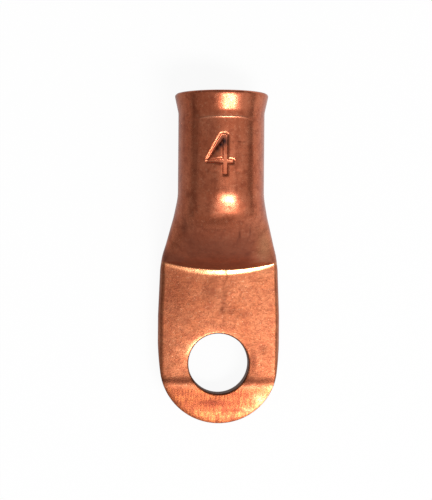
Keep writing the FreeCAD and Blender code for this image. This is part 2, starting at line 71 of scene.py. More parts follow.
# %% Sizes of the lug
BARREL_R = 9.9 / 2
BORE_R = 7.0 / 2
WALL = BARREL_R - BORE_R
MOUTH = 31.25
PALM = 2.8
SQUEEZE = 0.45
FOLD_R = (PALM + SQUEEZE) / 2
PALM_HALF = 14.24 / 2
NECK_IN = 0.19
NECK_HALF = PALM_HALF - NECK_IN
FULL_WIDTH = 5.6
CREASE = 11.0
BAND = 0.55
PALM_START = CREASE - BAND
ROUND_START = 20.0
print("wall %.2f mm, palm %.2f mm wide and %.2f mm thick" % (WALL, 2 * PALM_HALF, PALM))

# %% [markdown]
# Pressing keeps the tube's girth. A section of the ramp is four arcs: a broad crown, two folds that
# tighten and an almost flat belly. A lattice or a simulation could squash a tube too, but neither
# keeps its girth by itself. So four rows of numbers say how far the section at each station has gone
# from the round barrel (0) to the palm (1), and a smooth rule joins them, as the metal does.

# %% Smooth rules


def follow(stations, values, where):
    """A smooth curve through the stations that never overshoots them."""
    x, y = np.asarray(stations, float), np.asarray(values, float)
    step = np.diff(x)
    rise = np.diff(y) / step
    slope = np.zeros(len(x))
    for i in range(1, len(x) - 1):
        if rise[i - 1] * rise[i] > 0:
            slope[i] = 2 * rise[i - 1] * rise[i] / (rise[i - 1] + rise[i])
    where = np.clip(where, x[0], x[-1])
    i = np.clip(np.searchsorted(x, where) - 1, 0, len(step) - 1)
    t = (where - x[i]) / step[i]
    return (y[i] * (1 + 2 * t) * (1 - t) ** 2 + slope[i] * step[i] * t * (1 - t) ** 2
            + y[i + 1] * t ** 2 * (3 - 2 * t) + slope[i + 1] * step[i] * t ** 2 * (t - 1))


def ease(value, start, end):
    """0 before start, 1 after end, and a smooth change between them."""
    t = np.clip((value - start) / (end - start), 0, 1)
    return t * t * (3 - 2 * t)


print("ease at a quarter, a half and three quarters:", ease(np.array([0.25, 0.5, 0.75]), 0, 1))

# %% Sizes of a pressed section
STATION = [-0.3, 0.0, 0.27, 0.43, 0.63, 0.81, 1.0, 1.3]
SPREAD = [0, 0, 0.20, 0.40, 0.66, 0.90, 1, 1]
NECK_FALL = (BARREL_R - FOLD_R) / (BARREL_R - PALM / 2)
FALL = [0, 0, 0.091, 0.260, 0.472, 0.683, NECK_FALL, NECK_FALL]
TIGHTEN = [0, 0, 0.465, 0.690, 0.887, 0.972, 1, 1]
LOWER = [0, 0, 0.197, 0.352, 0.620, 0.915, 1, 1]


def half_width_at(y):
    """Half the palm's or neck's width, which grows a little from the neck to the stud hole."""
    return np.interp(y, [FULL_WIDTH, PALM_START], [PALM_HALF, NECK_HALF])


def outer_sizes(y):
    """Half width, height, fold radius and fold height of the outer section at each y."""
    part = (ROUND_START - y) / (ROUND_START - PALM_START)
    half = BARREL_R + (half_width_at(y) - BARREL_R) * follow(STATION, SPREAD, part)
    height = 2 * BARREL_R + (PALM - 2 * BARREL_R) * follow(STATION, FALL, part)
    fold = BARREL_R + (FOLD_R - BARREL_R) * follow(STATION, TIGHTEN, part)
    fold_height = BARREL_R + (FOLD_R - BARREL_R) * follow(STATION, LOWER, part)
    return half, height, fold, fold_height


print("half width, height, fold radius and fold height at y = 15 mm:",
      [round(float(size), 2) for size in outer_sizes(15.0)])

# %% Points of a pressed section
DOWN_THE_RAMP = np.array([21.0, 17.4, 15.9, 14.0, 12.2, 10.0])
NEARLY_FLAT = 1e-7


def arc_radius(out, high, fold):
    """Radius of the crown or belly that rises by high on its way out to the fold."""
    return (out ** 2 + high * (high + 2 * fold)) / (2 * high)


def round_section(sizes, share):
    """Points of a four-arc section, at shares of its half girth from crown (0) to belly (1)."""
    half, height, fold, fold_height = sizes
    out = half - fold
    above = np.maximum(height - fold_height - fold, NEARLY_FLAT)
    below = np.maximum(fold_height - fold, NEARLY_FLAT)
    crown_r, belly_r = arc_radius(out, above, fold), arc_radius(out, below, fold)
    crown_turn = np.arctan2(out, crown_r - above - fold)
    belly_turn = np.arctan2(out, belly_r - below - fold)
    crown_run = crown_r * crown_turn
    fold_run = fold * (math.pi - crown_turn - belly_turn)
    girth = crown_run + fold_run + belly_r * belly_turn
    run = share * girth
    a = run / crown_r
    b = crown_turn + (run - crown_run) / fold
    c = (girth - run) / belly_r
    on_crown, on_belly = run < crown_run, run > crown_run + fold_run
    x = np.where(on_crown, crown_r * np.sin(a),
                 np.where(on_belly, belly_r * np.sin(c), out + fold * np.sin(b)))
    z = np.where(on_crown, height - 2 * crown_r * np.sin(a / 2) ** 2,
                 np.where(on_belly, 2 * belly_r * np.sin(c / 2) ** 2, fold_height + fold * np.cos(b)))
    return x, z, 2 * girth


girths = round_section(outer_sizes(DOWN_THE_RAMP), np.zeros(len(DOWN_THE_RAMP)))[2]
print("girth of the tube down the ramp in mm:", np.round(girths, 2))

# %% [markdown]
# The press tool stops at a sharp, bowed edge. Behind it the metal stands up in a steep step, and in
# front of it the palm lifts very slightly. A boolean cut would leave a hard corner all along. Here the
# tool's face is a height over the plan, and the metal is the lower of two heights, so that one number
# says how soft the corner is: the top of the step is rounder than the edges of the palm.

# %% The press tool's face
CREASE_R = 26.0
STEP = math.radians(60)
BAND_RUN = 0.74
BAND_TILT = math.tan(math.radians(13))
BAND_SOFT = 0.24
BAND_THIN = 0.6
PALM_CROWN = 0.11


def past_crease(x, y):
    """How far a point lies past the bowed crease, towards the barrel."""
    return CREASE_R - np.hypot(x, CREASE + CREASE_R - y)


def bow(x):
    """How much further up the barrel the crease lies at x than in the middle."""
    return CREASE_R - np.sqrt(CREASE_R ** 2 - x ** 2)


def band_run(x):
    """How far in front of the crease the palm starts to lift: less towards its sides."""
    return BAND_RUN * (1 - BAND_THIN * np.clip(x / PALM_HALF, -1, 1) ** 2)


def tool_height(x, y):
    """The tool's face: slightly hollow over the palm, lifting near the crease, steep behind it."""
    past = past_crease(x, y)
    lifted = np.clip(past + band_run(x), 0, band_run(x))
    lift = BAND_TILT * (lifted - BAND_SOFT * (1 - np.exp(-lifted / BAND_SOFT)))
    crown = PALM_CROWN * np.clip(x / PALM_HALF, -1, 1) ** 2
    return PALM - crown + lift + np.tan(STEP) * np.clip(past, 0, None)


print("tool face over the middle at y = 9, 11 and 11.5 mm:",
      np.round(tool_height(0.0, np.array([9.0, 11.0, 11.5])), 2))

# %% Metal held down by the tool
EDGE_SOFT = 0.22
STEP_SOFT = 0.9
STEP_SOFTENS = (0.1, 0.8)


def lower_of(a, b, soft):
    """The lower of two heights, with their corner rounded over about one soft length."""
    near = np.clip(soft - np.abs(a - b), 0, None)
    return np.minimum(a, b) - near ** 2 / (4 * soft)


def pressed(x, y, z):
    """The natural height z, held down by the press tool, with a soft corner on top of the step."""
    soft = EDGE_SOFT + (STEP_SOFT - EDGE_SOFT) * ease(past_crease(x, y), *STEP_SOFTENS)
    return lower_of(z, tool_height(x, y), soft)


print("a 5 mm high ramp is pressed to %.2f mm at y = 11.5 mm" % pressed(0.0, 11.5, 5.0))

# %% [markdown]
# The palm's top and underside are heights over its plan. Its long edges are full folds, the tip is
# rolled down past its own crease, the blanking die drags the cut edge down, and the piercing punch
# draws the metal in around the stud hole, most of all on one side. Bevels would give all edges the
# same round, while here each tool has a rule of its own and the rules are added up.

# %% Plan of the blanked tip
TIP = 6.999
FLANK_R = 36.0
BLANK_OUT = 0.03
BLANK_HALF = PALM_HALF + BLANK_OUT
TIP_IN = 0.27
TIP_R = BLANK_HALF - TIP_IN
END_Y = TIP_R - TIP
FLANK_X = BLANK_HALF - FLANK_R
FLANK_Y = END_Y + math.sqrt((FLANK_R - TIP_R) ** 2 - FLANK_X ** 2)
UNCUT_RUN = 2
FAR_IN = 10


def to_cut_edge(x, y):
    """Distance inwards from the blanked edge, and far in where the palm keeps its folds."""
    end = TIP_R - np.hypot(x, y - END_Y)
    flank = FLANK_R - np.hypot(np.abs(x) - FLANK_X, y - FLANK_Y)
    return np.where(y < END_Y, np.minimum(end, flank), flank + FAR_IN * ease(y, FLANK_Y, FLANK_Y + UNCUT_RUN))


print("the end arc is centred at y = %.2f mm, the flank arcs at %.2f mm" % (END_Y, FLANK_Y))

# %% The palm as a height field
HOLE_R = 7.05 / 2
RIM_ROUND = 0.2
TIP_CREASE = 1.85
ROLL_R = 50.0
ROLL_DROP = 0.6
ROLL_RUN = TIP + 1 - TIP_CREASE
ROLL_LEAN = math.atan2(ROLL_DROP, ROLL_RUN) - math.asin(math.hypot(ROLL_DROP, ROLL_RUN) / 2 / ROLL_R)
SHEAR_DRAG = 0.07
SHEAR_WIDTH = 0.3
DRAW_IN = 0.012
DRAW_LEAN = 0.065
DRAW_TOWARDS = math.radians(165)
DRAW_FOCUS = 6
DRAW_WIDTH = 0.32
RIDGE = 0.03
RIDGE_Y = -2.6
RIDGE_WIDTH = 0.8


def fold_rise(x, y):
    """Height of the full fold above or below the middle of the palm's thickness."""
    past_flat = np.clip(np.abs(x) - (half_width_at(y) - FOLD_R), 0, FOLD_R)
    return np.sqrt(FOLD_R ** 2 - past_flat ** 2)


def palm_top(x, y):
    rolled = np.clip(-TIP_CREASE - y, 0, None)
    roll = rolled * math.tan(ROLL_LEAN) + ROLL_R - np.sqrt(ROLL_R ** 2 - rolled ** 2)
    drag = SHEAR_DRAG * np.exp(-np.clip(to_cut_edge(x, y), 0, None) / SHEAR_WIDTH)
    leaning = np.clip(np.cos(np.arctan2(y, x) - DRAW_TOWARDS), 0, 1) ** DRAW_FOCUS
    from_rim = np.clip(np.hypot(x, y) - HOLE_R - RIM_ROUND, 0, None)
    draw = (DRAW_IN + DRAW_LEAN * leaning) * np.exp(-from_rim / DRAW_WIDTH)
    ridge = RIDGE * np.exp(-((y - RIDGE_Y) / RIDGE_WIDTH) ** 2)
    return lower_of(FOLD_R + fold_rise(x, y), tool_height(x, y) - roll, EDGE_SOFT) + ridge - drag - draw


def palm_belly(x, y):
    return FOLD_R - fold_rise(x, y)


print("palm's top in mm: %.2f by the crease, %.2f at the tip" % (palm_top(0.0, 9.0), palm_top(0.0, -6.5)))

# %% [markdown]
# The skin is built as rows of one ring each, so that its edges run along the real ones. A scanned or
# remeshed skin would need far more faces for the same crease. A ring has the same number of points all
# the way, shared out by girth: fine over the crown and the folds. Near the crease the rows bow with
# it, and on the barrel they stand square.

# %% Shares of the girth
CROWN_STEPS = 54
FOLD_STEPS = 12
EDGE_STEPS = 6
FOLD_OPEN = math.radians(20)
PALM_ROW = 9.3


def ring_shares():
    """Shares of the half girth, spaced so that the palm's flat, folds and edge start on a point."""
    flat = half_width_at(PALM_ROW) - FOLD_R
    side = (math.pi / 2 - FOLD_OPEN) * FOLD_R
    knots = np.cumsum([0, flat, side, 2 * FOLD_OPEN * FOLD_R, side, flat])
    steps = [CROWN_STEPS, FOLD_STEPS, EDGE_STEPS, FOLD_STEPS, CROWN_STEPS]
    runs = [np.linspace(knots[i], knots[i + 1], steps[i] + 1)[1:] for i in range(len(steps))]
    return np.concatenate([[0.0]] + runs) / knots[-1]


SHARE = ring_shares()
HALF_RING = len(SHARE) - 1
RING = 2 * HALF_RING
AROUND = np.concatenate([SHARE, SHARE[-2:0:-1]])
SIDE = np.where(np.arange(RING) <= HALF_RING, 1.0, -1.0)
CORNER = CROWN_STEPS
print("points in a ring:", RING)

# %% Rings of the ramp and the barrel
BOW_FADES = (12.6, 17.5)
BOW_PASSES = 6


def ramp_ring(row):
    """The ring at one row of ramp or neck: bowed like the crease, and pressed by the tool."""
    bowed = 1 - ease(row, *BOW_FADES)
    y = np.full(RING, float(row))
    for _ in range(BOW_PASSES):
        x, z, _ = round_section(outer_sizes(y), AROUND)
        y = row + bow(x) * bowed
    top = np.arange(RING)
    top = (top <= HALF_RING // 2) | (top >= RING - HALF_RING // 2)
    z = np.where(top, pressed(x, y, z), z)
    return np.stack([x * SIDE, y, z], 1)


def turned_ring(y, radius):
    """A round ring of the barrel, bell or bore."""
    angle = math.pi * AROUND
    x, z = radius * np.sin(angle) * SIDE, BARREL_R + radius * np.cos(angle)
    return np.stack([x, np.full(RING, y), z], 1)


print("the ring at row 14 mm is %.2f mm high" % np.ptp(ramp_ring(14.0)[:, 2]))

# %% [markdown]
# The bell is pushed out by a cone in the tube's end. It is turned here from one profile, as on a
# lathe: a soft bend, a short cone, the rounded lip, the flat mouth and the same path back inside. A
# screw modifier would do the same for the barrel alone, but these rings go on into the ramp's without
# a seam. The cone's angle follows from the two rounds that it has to touch.

# %% Profile of the belled mouth
FLARE_RISE = 0.413
FLARE_LENGTH = 2.45
FLARE_BEND = 2.0
LIP_ROUND = 0.32
BORE_LIP_ROUND = 0.3
BELL = MOUTH - FLARE_LENGTH
ROUND_POINTS = 7
CONE_POINTS = 9


def bell_profile(radius, bend, lip, lip_out, inside):
    """From the barrel's line over the bell to the mouth, as (y, radius) pairs."""
    along, outwards = MOUTH - lip - BELL, lip_out - radius - bend
    reach = bend - lip if inside else bend + lip
    turn = math.atan2(outwards, along) + math.asin(reach / math.hypot(along, outwards))
    path = [(BELL + bend * math.sin(a), radius + bend - bend * math.cos(a))
            for a in np.linspace(0, turn, ROUND_POINTS)]
    first = turn - math.pi / 2 if inside else turn + math.pi / 2
    start = (MOUTH - lip + lip * math.cos(first), lip_out + lip * math.sin(first))
    bend_end = path[-1]
    path += [(bend_end[0] * (1 - t) + start[0] * t, bend_end[1] * (1 - t) + start[1] * t)
             for t in np.linspace(0, 1, CONE_POINTS)[1:-1]]
    path += [(MOUTH - lip + lip * math.cos(a), lip_out + lip * math.sin(a))
             for a in np.linspace(first, 0, ROUND_POINTS)]
    return path


outer_bell = bell_profile(BARREL_R, FLARE_BEND, LIP_ROUND, BARREL_R + FLARE_RISE - LIP_ROUND, False)
inner_bell = bell_profile(BORE_R, FLARE_BEND + WALL, BORE_LIP_ROUND,
                          BORE_R + FLARE_RISE + BORE_LIP_ROUND, True)
print("mouth: outer %.2f mm, bore entry %.2f mm across"
      % (2 * max(r for _, r in outer_bell), 2 * inner_bell[-1][1]))

# %% Rows from the palm's edge to the mouth and back down the bore
RAMP_ROWS = [(PALM_ROW, 10.2, 0.18), (10.2, 12.7, 0.075), (12.7, 18.0, 0.18), (18.0, ROUND_START + 1, 0.16)]
BARREL_ROW = 0.165
BORE_ROW = 1.1
FACE_POINTS = 6


def spaced(start, end, step):
    """Places from start to just before end, about one step apart."""
    return list(np.linspace(start, end, max(2, int(round(abs(end - start) / step)) + 1))[:-1])


rings = [ramp_ring(row) for stretch in RAMP_ROWS for row in spaced(*stretch)]
rings += [turned_ring(y, BARREL_R) for y in spaced(ROUND_START + 1, BELL, BARREL_ROW)]
rings += [turned_ring(y, r) for y, r in outer_bell]
face = np.linspace(outer_bell[-1][1], inner_bell[-1][1], FACE_POINTS)[1:-1]
rings += [turned_ring(MOUTH, r) for r in face]
rings += [turned_ring(y, r) for y, r in reversed(inner_bell)]
rings += [turned_ring(y, BORE_R) for y in spaced(BELL, ROUND_START, BORE_ROW)[1:]]
print("rows so far:", len(rings))

# %% [markdown]
# Past the round bore the cavity follows the outer section one wall further in, and it closes to a
# slit between the two pressed walls. It can't be seen from above, and a plain disc could close the
# bore, but a look into the mouth shows the real thing. Its rows are coarse for the same reason.

# %% The wire cavity
SLIT = 12.0
SLIT_IN = 0.2
SLIT_HALF = NECK_HALF - WALL - SLIT_IN
SLIT_HIGH = 0.16
CAVITY_END = 13.92
CAVITY_ROW = 0.8


def cavity_ring(y):
    half, height, fold, fold_height = outer_sizes(max(y, CAVITY_END))
    inner = np.array([half - WALL, height - 2 * WALL, max(fold - WALL, SLIT_HIGH / 2), fold_height - WALL])
    slit = np.array([SLIT_HALF, SLIT_HIGH, SLIT_HIGH / 2, SLIT_HIGH / 2])
    closed = np.clip((CAVITY_END - y) / (CAVITY_END - SLIT), 0, 1)
    x, z, _ = round_section(inner * (1 - closed) + slit * closed, AROUND)
    return np.stack([x * SIDE, np.full(RING, y), z + WALL], 1)


rings += [cavity_ring(y) for y in spaced(ROUND_START, SLIT, CAVITY_ROW) + [SLIT]]
skin = np.array(rings)
print("rows of the skin:", len(skin))

# %% [markdown]
# The palm is a ring of metal round the stud hole, so its rows run outwards from the hole like
# spokes. Towards the barrel they end on the first ring of the skin. Elsewhere each one goes out over
# the top, over the fold or down the cut edge, and back underneath to the hole. A square grid with a
# hole cut in it is quicker to write, but its edge would be ragged where the light catches the rim.

# %% The palm's outline
SIDE_ROWS = 120
SAMPLES = 400
FLANK_SAMPLES = 200
LEAN_PASSES = 12


def side_path():
    """Places and outward directions down the right side, from the neck to the middle of the tip."""
    turn = math.asin((FLANK_Y - END_Y) / (FLANK_R - TIP_R))
    straight = np.linspace(skin[0, CORNER, 1], FLANK_Y, SAMPLES)
    flank = np.linspace(0, turn, FLANK_SAMPLES)[1:]
    end = np.linspace(turn, math.pi / 2, SAMPLES)[1:]
    cut_x = np.concatenate([np.full(SAMPLES, BLANK_HALF), FLANK_X + FLANK_R * np.cos(flank),
                            TIP_R * np.cos(end)])
    y = np.concatenate([straight, FLANK_Y - FLANK_R * np.sin(flank), END_Y - TIP_R * np.sin(end)])
    fold_x = half_width_at(y) - FOLD_R + FOLD_R * math.cos(FOLD_OPEN)
    x = np.minimum(cut_x, fold_x)
    lean = np.where(cut_x < fold_x, np.concatenate([np.zeros(SAMPLES), flank, end]), 0.0)
    run = np.concatenate([[0], np.cumsum(np.hypot(np.diff(x), np.diff(y)))])
    where = np.linspace(0, run[-1], SIDE_ROWS + 1)
    lean = np.interp(where, run, lean)
    for _ in range(LEAN_PASSES):
        lean[1:-1] = (lean[:-2] + 2 * lean[1:-1] + lean[2:]) / 4
    return np.interp(where, run, x), np.interp(where, run, y), lean, np.interp(where, run, cut_x)


edge_x, edge_y, edge_lean, cut_x = side_path()
print("side path: %d rows, tip at y = %.3f mm" % (len(edge_x), edge_y[-1]))

# %% Over the fold or the cut edge
CUT_NARROWS = 0.55
CUT_LEANS = (0.1, 0.9)
NECK_ROWS = 14
MIRROR = np.array([-1.0, 1.0, 1.0])


def fold_profile(i):
    """One row over the side, from the flat top to the flat belly."""
    x, y, lean = edge_x[i], edge_y[i], edge_lean[i]
    out = np.array([math.cos(lean), -math.sin(lean)])
    flat = half_width_at(y) - FOLD_R
    wide = FOLD_R * math.cos(FOLD_OPEN) * (1 - CUT_NARROWS * ease(lean, *CUT_LEANS))
    phi = np.linspace(math.pi / 2, FOLD_OPEN, FOLD_STEPS + 1)
    inwards = wide * (1 - np.cos(phi) / math.cos(FOLD_OPEN))
    plan = np.array([x, y]) - inwards[:, None] * out
    top = np.column_stack([plan, palm_top(plan[:, 0], plan[:, 1])])
    belly = np.column_stack([plan, palm_belly(plan[:, 0], plan[:, 1])])[::-1]
    z = np.linspace(top[-1, 2], belly[0, 2], EDGE_STEPS + 1)[1:-1]
    bulge = flat + np.sqrt(FOLD_R ** 2 - np.clip(z - FOLD_R, -FOLD_R, FOLD_R) ** 2) - x
    room = max(0.0, cut_x[i] - x)
    plan = np.array([x, y]) + np.clip(np.minimum(bulge, room), 0, None)[:, None] * out
    edge = np.column_stack([plan, z])
    return np.concatenate([top, edge, belly])


sides = np.array([fold_profile(i) for i in range(SIDE_ROWS + 1)])
neck = skin[0, CORNER:CORNER + sides.shape[1]]
fade = 1 - ease(np.arange(SIDE_ROWS + 1), 0, NECK_ROWS)
sides += (neck - sides[0]) * fade[:, None, None]
print("points in a row over the side:", sides.shape[1])

# %% Spokes of the palm's top and underside
TOP_STEPS = 37
TOP_BIAS = 0.35
BELLY_STEPS = 9
BELLY_BIAS = 0.5


def spread_out(start, end, steps, bias):
    """Steps from start to end, closer together near the start."""
    t = np.linspace(0, 1, steps + 1)
    t = bias * t + (1 - bias) * t ** 2
    return start[:, None] + (end - start)[:, None] * t[None, :, None]


def lay(plan, height):
    return np.dstack([plan, height(plan[..., 0], plan[..., 1])])


neck_top = np.concatenate([skin[0, RING - CORNER:], skin[0, :CORNER + 1]])
neck_belly = skin[0, HALF_RING - CORNER:HALF_RING + CORNER + 1][::-1]
tops = np.concatenate([neck_top, sides[1:, 0], sides[-2:0:-1, 0] * MIRROR])
bellies = np.concatenate([neck_belly, sides[1:, -1], sides[-2:0:-1, -1] * MIRROR])
angle = np.arctan2(tops[:, 1], tops[:, 0])
round_hole = np.column_stack([np.cos(angle), np.sin(angle)])
top_plan = spread_out(round_hole * (HOLE_R + RIM_ROUND), tops[:, :2], TOP_STEPS, TOP_BIAS)
belly_plan = spread_out(round_hole * HOLE_R, bellies[:, :2], BELLY_STEPS, BELLY_BIAS)
top_grid = lay(top_plan, palm_top)
belly_grid = lay(belly_plan, palm_belly)
top_grid[:, -1] = tops
belly_grid[:, -1] = bellies
print("spokes:", len(tops))

# %% The stud hole's wall and rim
HOLE_STEPS = 8
RIM_STEPS = 5

rim_turn = np.linspace(0, math.pi / 2, RIM_STEPS + 1)
rim_r = HOLE_R + RIM_ROUND * (1 - np.cos(rim_turn))
rim_down = RIM_ROUND * (1 - np.sin(rim_turn))
rim = np.dstack([round_hole[:, None, 0] * rim_r, round_hole[:, None, 1] * rim_r,
                 top_grid[:, :1, 2] - rim_down])
down = np.linspace(0, 1, HOLE_STEPS + 1)[None, :, None]
wall_grid = belly_grid[:, :1] * (1 - down) + rim[:, :1] * down
hole_grid = np.concatenate([wall_grid, rim[:, 1:]], 1)
print("the rim's top edge lies between %.2f and %.2f mm" % (rim[:, -1, 2].min(), rim[:, -1, 2].max()))

# %% [markdown]
# A stamp bites sharply, and a skin with rows a sixth of a millimetre apart can't show that. Finer rows
# all round would make the mesh more than ten times as large. So only the faces under the gauge number 4
# and the line where the belling tool stopped are cut into sixteen. The strokes are the foot of the
# stamp, read off the real lug in millimetres.

# %% Where the stamp and the belling tool marked the barrel
FINE = 0.02
NUMBER = [  # x, y and width of the stamp's foot along each stroke
    [(-1.76, 23.50, 0.04), (-0.88, 24.92, 0.16), (-0.06, 26.10, 0.34)],
    [(-0.10, 26.18, 0.12), (0.26, 26.18, 0.12)],
    [(0.27, 26.12, 0.34), (0.26, 21.82, 0.32)],
    [(-1.80, 23.24, 0.03), (-0.9, 23.28, 0.16), (0.2, 23.26, 0.36), (1.12, 23.21, 0.18)],
]
CROWN_Z = BARREL_R + 2
MARKED_HALF = 4
MARKED_START = 20.9
NUMBER_END = 27.3
NUMBER_MARGIN = 0.58
LINE_MARGIN = 0.22


def fine(*places):
    """A stroke of one fine width through the places."""
    return [(x, y, FINE) for x, y in places]


BELL_LINE = [fine((-3.9, 27.95), (-3.0, 28.05), (-2.4, 28.13), (-1.7, 28.23), (-0.7, 28.29), (0.6, 28.31),
                  (1.7, 28.30), (2.3, 28.25), (2.9, 28.16), (3.4, 28.07), (4.0, 27.95))]


def from_strokes(strokes, x, y):
    """Plan distance from a point to the edge of the nearest stroke."""
    nearest = math.inf
    for stroke in strokes:
        for (x0, y0, w0), (x1, y1, w1) in zip(stroke, stroke[1:]):
            along = (x - x0) * (x1 - x0) + (y - y0) * (y1 - y0)
            share = min(1, max(0, along / ((x1 - x0) ** 2 + (y1 - y0) ** 2)))
            off = math.hypot(x - x0 - share * (x1 - x0), y - y0 - share * (y1 - y0))
            nearest = min(nearest, off - (w0 * (1 - share) + w1 * share) / 2)
    return nearest


def marked_place(x, y, z):
    """Where the marks need a finer skin: round the gauge number and along the bell's line."""
    if z < CROWN_Z or y < MARKED_START or abs(x) > MARKED_HALF:
        return False
    if y < NUMBER_END:
        return from_strokes(NUMBER, x, y) < NUMBER_MARGIN
    return from_strokes(BELL_LINE, x, y) < LINE_MARGIN


print("strokes: %d in the number, %d points in the bell's line" % (len(NUMBER), len(BELL_LINE[0])))

# %% [markdown]
# Every grid becomes faces in the same way. The shared rows are merged, and the result is one closed
# skin: in at the mouth, down the cavity to the slit, round the palm and through the stud hole. Loose
# sheets laid edge to edge would look the same in one picture, but a closed skin has an inside and an
# outside, which a printer, a game and a renderer all rely on.

# %% Collect the grids
points, faces = [], []


def grid_faces(first, rows, columns, closed):
    last = columns if closed else columns - 1
    return [(first + r * columns + c, first + r * columns + (c + 1) % columns,
             first + (r + 1) * columns + (c + 1) % columns, first + (r + 1) * columns + c)
            for r in range(rows - 1) for c in range(last)]


def add_grid(grid, closed):
    first = sum(len(item) for item in points)
    points.append(grid.reshape(-1, 3))
    faces.extend(grid_faces(first, grid.shape[0], grid.shape[1], closed))
    return first


skin_first = add_grid(skin, True)
last_ring = skin_first + (len(skin) - 1) * RING
for j in range(HALF_RING // 2):
    across = list(dict.fromkeys([j, j + 1, HALF_RING - j - 1, HALF_RING - j]))
    faces.append([last_ring + k for k in across])
    faces.append([last_ring + (RING - k) % RING for k in across])
for grid in (top_grid, belly_grid, hole_grid):
    add_grid(np.swapaxes(grid, 0, 1), True)
add_grid(sides, False)
add_grid(sides * MIRROR, False)
print("%d grids, %d faces" % (len(points), len(faces)))

# %% Join them into one closed lug
MERGE = 0.002
MARK_CUTS = 3


def put_in_scene(name, data):
    item = bpy.data.objects.new(name, data)
    bpy.context.collection.objects.link(item)
    return item


def joined_mesh(name):
    build = bmesh.new()
    corners = [build.verts.new(Vector(point) * MM) for point in np.concatenate(points)]
    for face in faces:
        build.faces.new([corners[k] for k in face])
    bmesh.ops.remove_doubles(build, verts=build.verts, dist=MERGE * MM)
    marked = {vert for vert in build.verts if marked_place(*(vert.co / MM))}
    edges = [edge for edge in build.edges if edge.verts[0] in marked and edge.verts[1] in marked]
    bmesh.ops.subdivide_edges(build, edges=edges, cuts=MARK_CUTS, use_grid_fill=True)
    bmesh.ops.recalc_face_normals(build, faces=build.faces)
    open_edges = sum(len(edge.link_faces) != 2 for edge in build.edges)
    mesh = bpy.data.meshes.new(name)
    build.to_mesh(mesh)
    build.free()
    mesh.polygons.foreach_set("use_smooth", [True] * len(mesh.polygons))
    return mesh, open_edges


mesh, open_edges = joined_mesh("lug")
lug = put_in_scene("lug_body", mesh)
print("lug: %d faces, %d edges left open" % (len(mesh.polygons), open_edges))

# %% [markdown]
# The metal doesn't look the same all over. The press burnished the palm's face, the punch and the
# blanking die tore the cut walls, and the rest kept the brown film of the annealed tube. Some zones
# also carry painted light: shade by the step, on the palm and in the stamped number, and highlights on
# the band by the crease, the bell's line and a few spots. These zones could be separate materials, but
# then each would end in a hard line. Each is an attribute of the skin instead, from 0 to 1, which the
# finish reads, and its soft edges are given in millimetres.

# %% Places of all points of the skin


def per_point(name):
    values = np.zeros(len(mesh.vertices) * 3, np.float32)
    mesh.vertices.foreach_get(name, values)
    return values.reshape(-1, 3).T.astype(float)


X, Y, Z = per_point("co") / MM
upright = np.abs(per_point("normal")[2])
past = past_crease(X, Y)
print("points of the skin:", len(X))

# %% Zones of the palm: burnished face, cut walls, rolled tip, and the band by the crease, which also carries a painted highlight
CREASE_EDGE = (-0.02, 0.06)
FACE_EDGE = (-0.3, -0.04)
WALL_LEANS = (0.35, 0.75)
PIERCED_EDGE = (HOLE_R + 0.1, HOLE_R + 0.2)
BLANKED_EDGE = (0.05, 0.3)
BLANKED_END = (0.5, 3.0)
ROLLED_EDGE = (-3.2, RIDGE_Y)
BAND_EDGE = (-0.05, 0.2)
BAND_HIGHLIGHT_RIGHTWARDS = (-5, 2)
TIP_LINE_Y = -2.02
TIP_LINE_WIDTH = 0.42

in_front = 1 - ease(past, *CREASE_EDGE)
on_face = ease(Z - palm_top(X, Y), *FACE_EDGE)
burnished = in_front * on_face
steep = 1 - ease(upright, *WALL_LEANS)
pierced = steep * (1 - ease(np.hypot(X, Y), *PIERCED_EDGE))
blanked = steep * (1 - ease(to_cut_edge(X, Y), *BLANKED_EDGE)) * (1 - ease(Y, *BLANKED_END))
rolled_tip = in_front * (1 - ease(Y, *ROLLED_EDGE)) * on_face
# Painted highlight: the band by the crease is smoother, and its colour is also lightened to stand in for the
# lamp's highlight, half as strong on the left as on the right, the lamps' side.
crease_band = burnished * ease(past + band_run(X), *BAND_EDGE) * (0.5 + 0.5 * ease(X, *BAND_HIGHLIGHT_RIGHTWARDS))
tip_crease = in_front * np.exp(-((Y - TIP_LINE_Y) / TIP_LINE_WIDTH) ** 2) * on_face
print("burnished points:", int((burnished > 0.5).sum()))

# %% Zones of the ramp and the barrel: brown film with painted shade by the step, and the ring left by the belling tool with a painted highlight
UPPER_SIDE = (2.0, 3.0)
FILM_AND_SHADE_BY_STEP = (0.5, 2.4)
FILM_AND_SHADE_TONGUE = 0.85
TONGUE_END = (2.6, 6.2)
TONGUE_SIDES = (3.3, 5.6)
FILM_LIT_RIGHTWARDS = (2.4, 5.6)
RING_WIDTH = 0.1
RING_SIDES = (1.9, 3.1)

behind = (1 - in_front) * ease(Z, *UPPER_SIDE)
tongue = (1 - ease(past, *TONGUE_END)) * (1 - ease(np.abs(X), *TONGUE_SIDES))
# Painted shade: the film is darkest on the step and up the middle of the ramp, where the metal faces down,
# away from the lamps, and it is weaker on the right, towards the lamps.
film = behind * np.maximum(1 - ease(past, *FILM_AND_SHADE_BY_STEP), FILM_AND_SHADE_TONGUE * tongue)
film *= 1 - 0.5 * ease(X, *FILM_LIT_RIGHTWARDS)
line_x, line_y = np.array(BELL_LINE[0]).T[:2]
# Painted highlight: a pale line along the ridge left by the belling tool, as the lamps would light it across
# the barrel's top.
bell_ring = np.exp(-((Y - np.interp(X, line_x, line_y)) / RING_WIDTH) ** 2)
bell_ring *= (1 - ease(np.abs(X), *RING_SIDES)) * (Z > CROWN_Z)
print("film points:", int((film > 0.5).sum()))
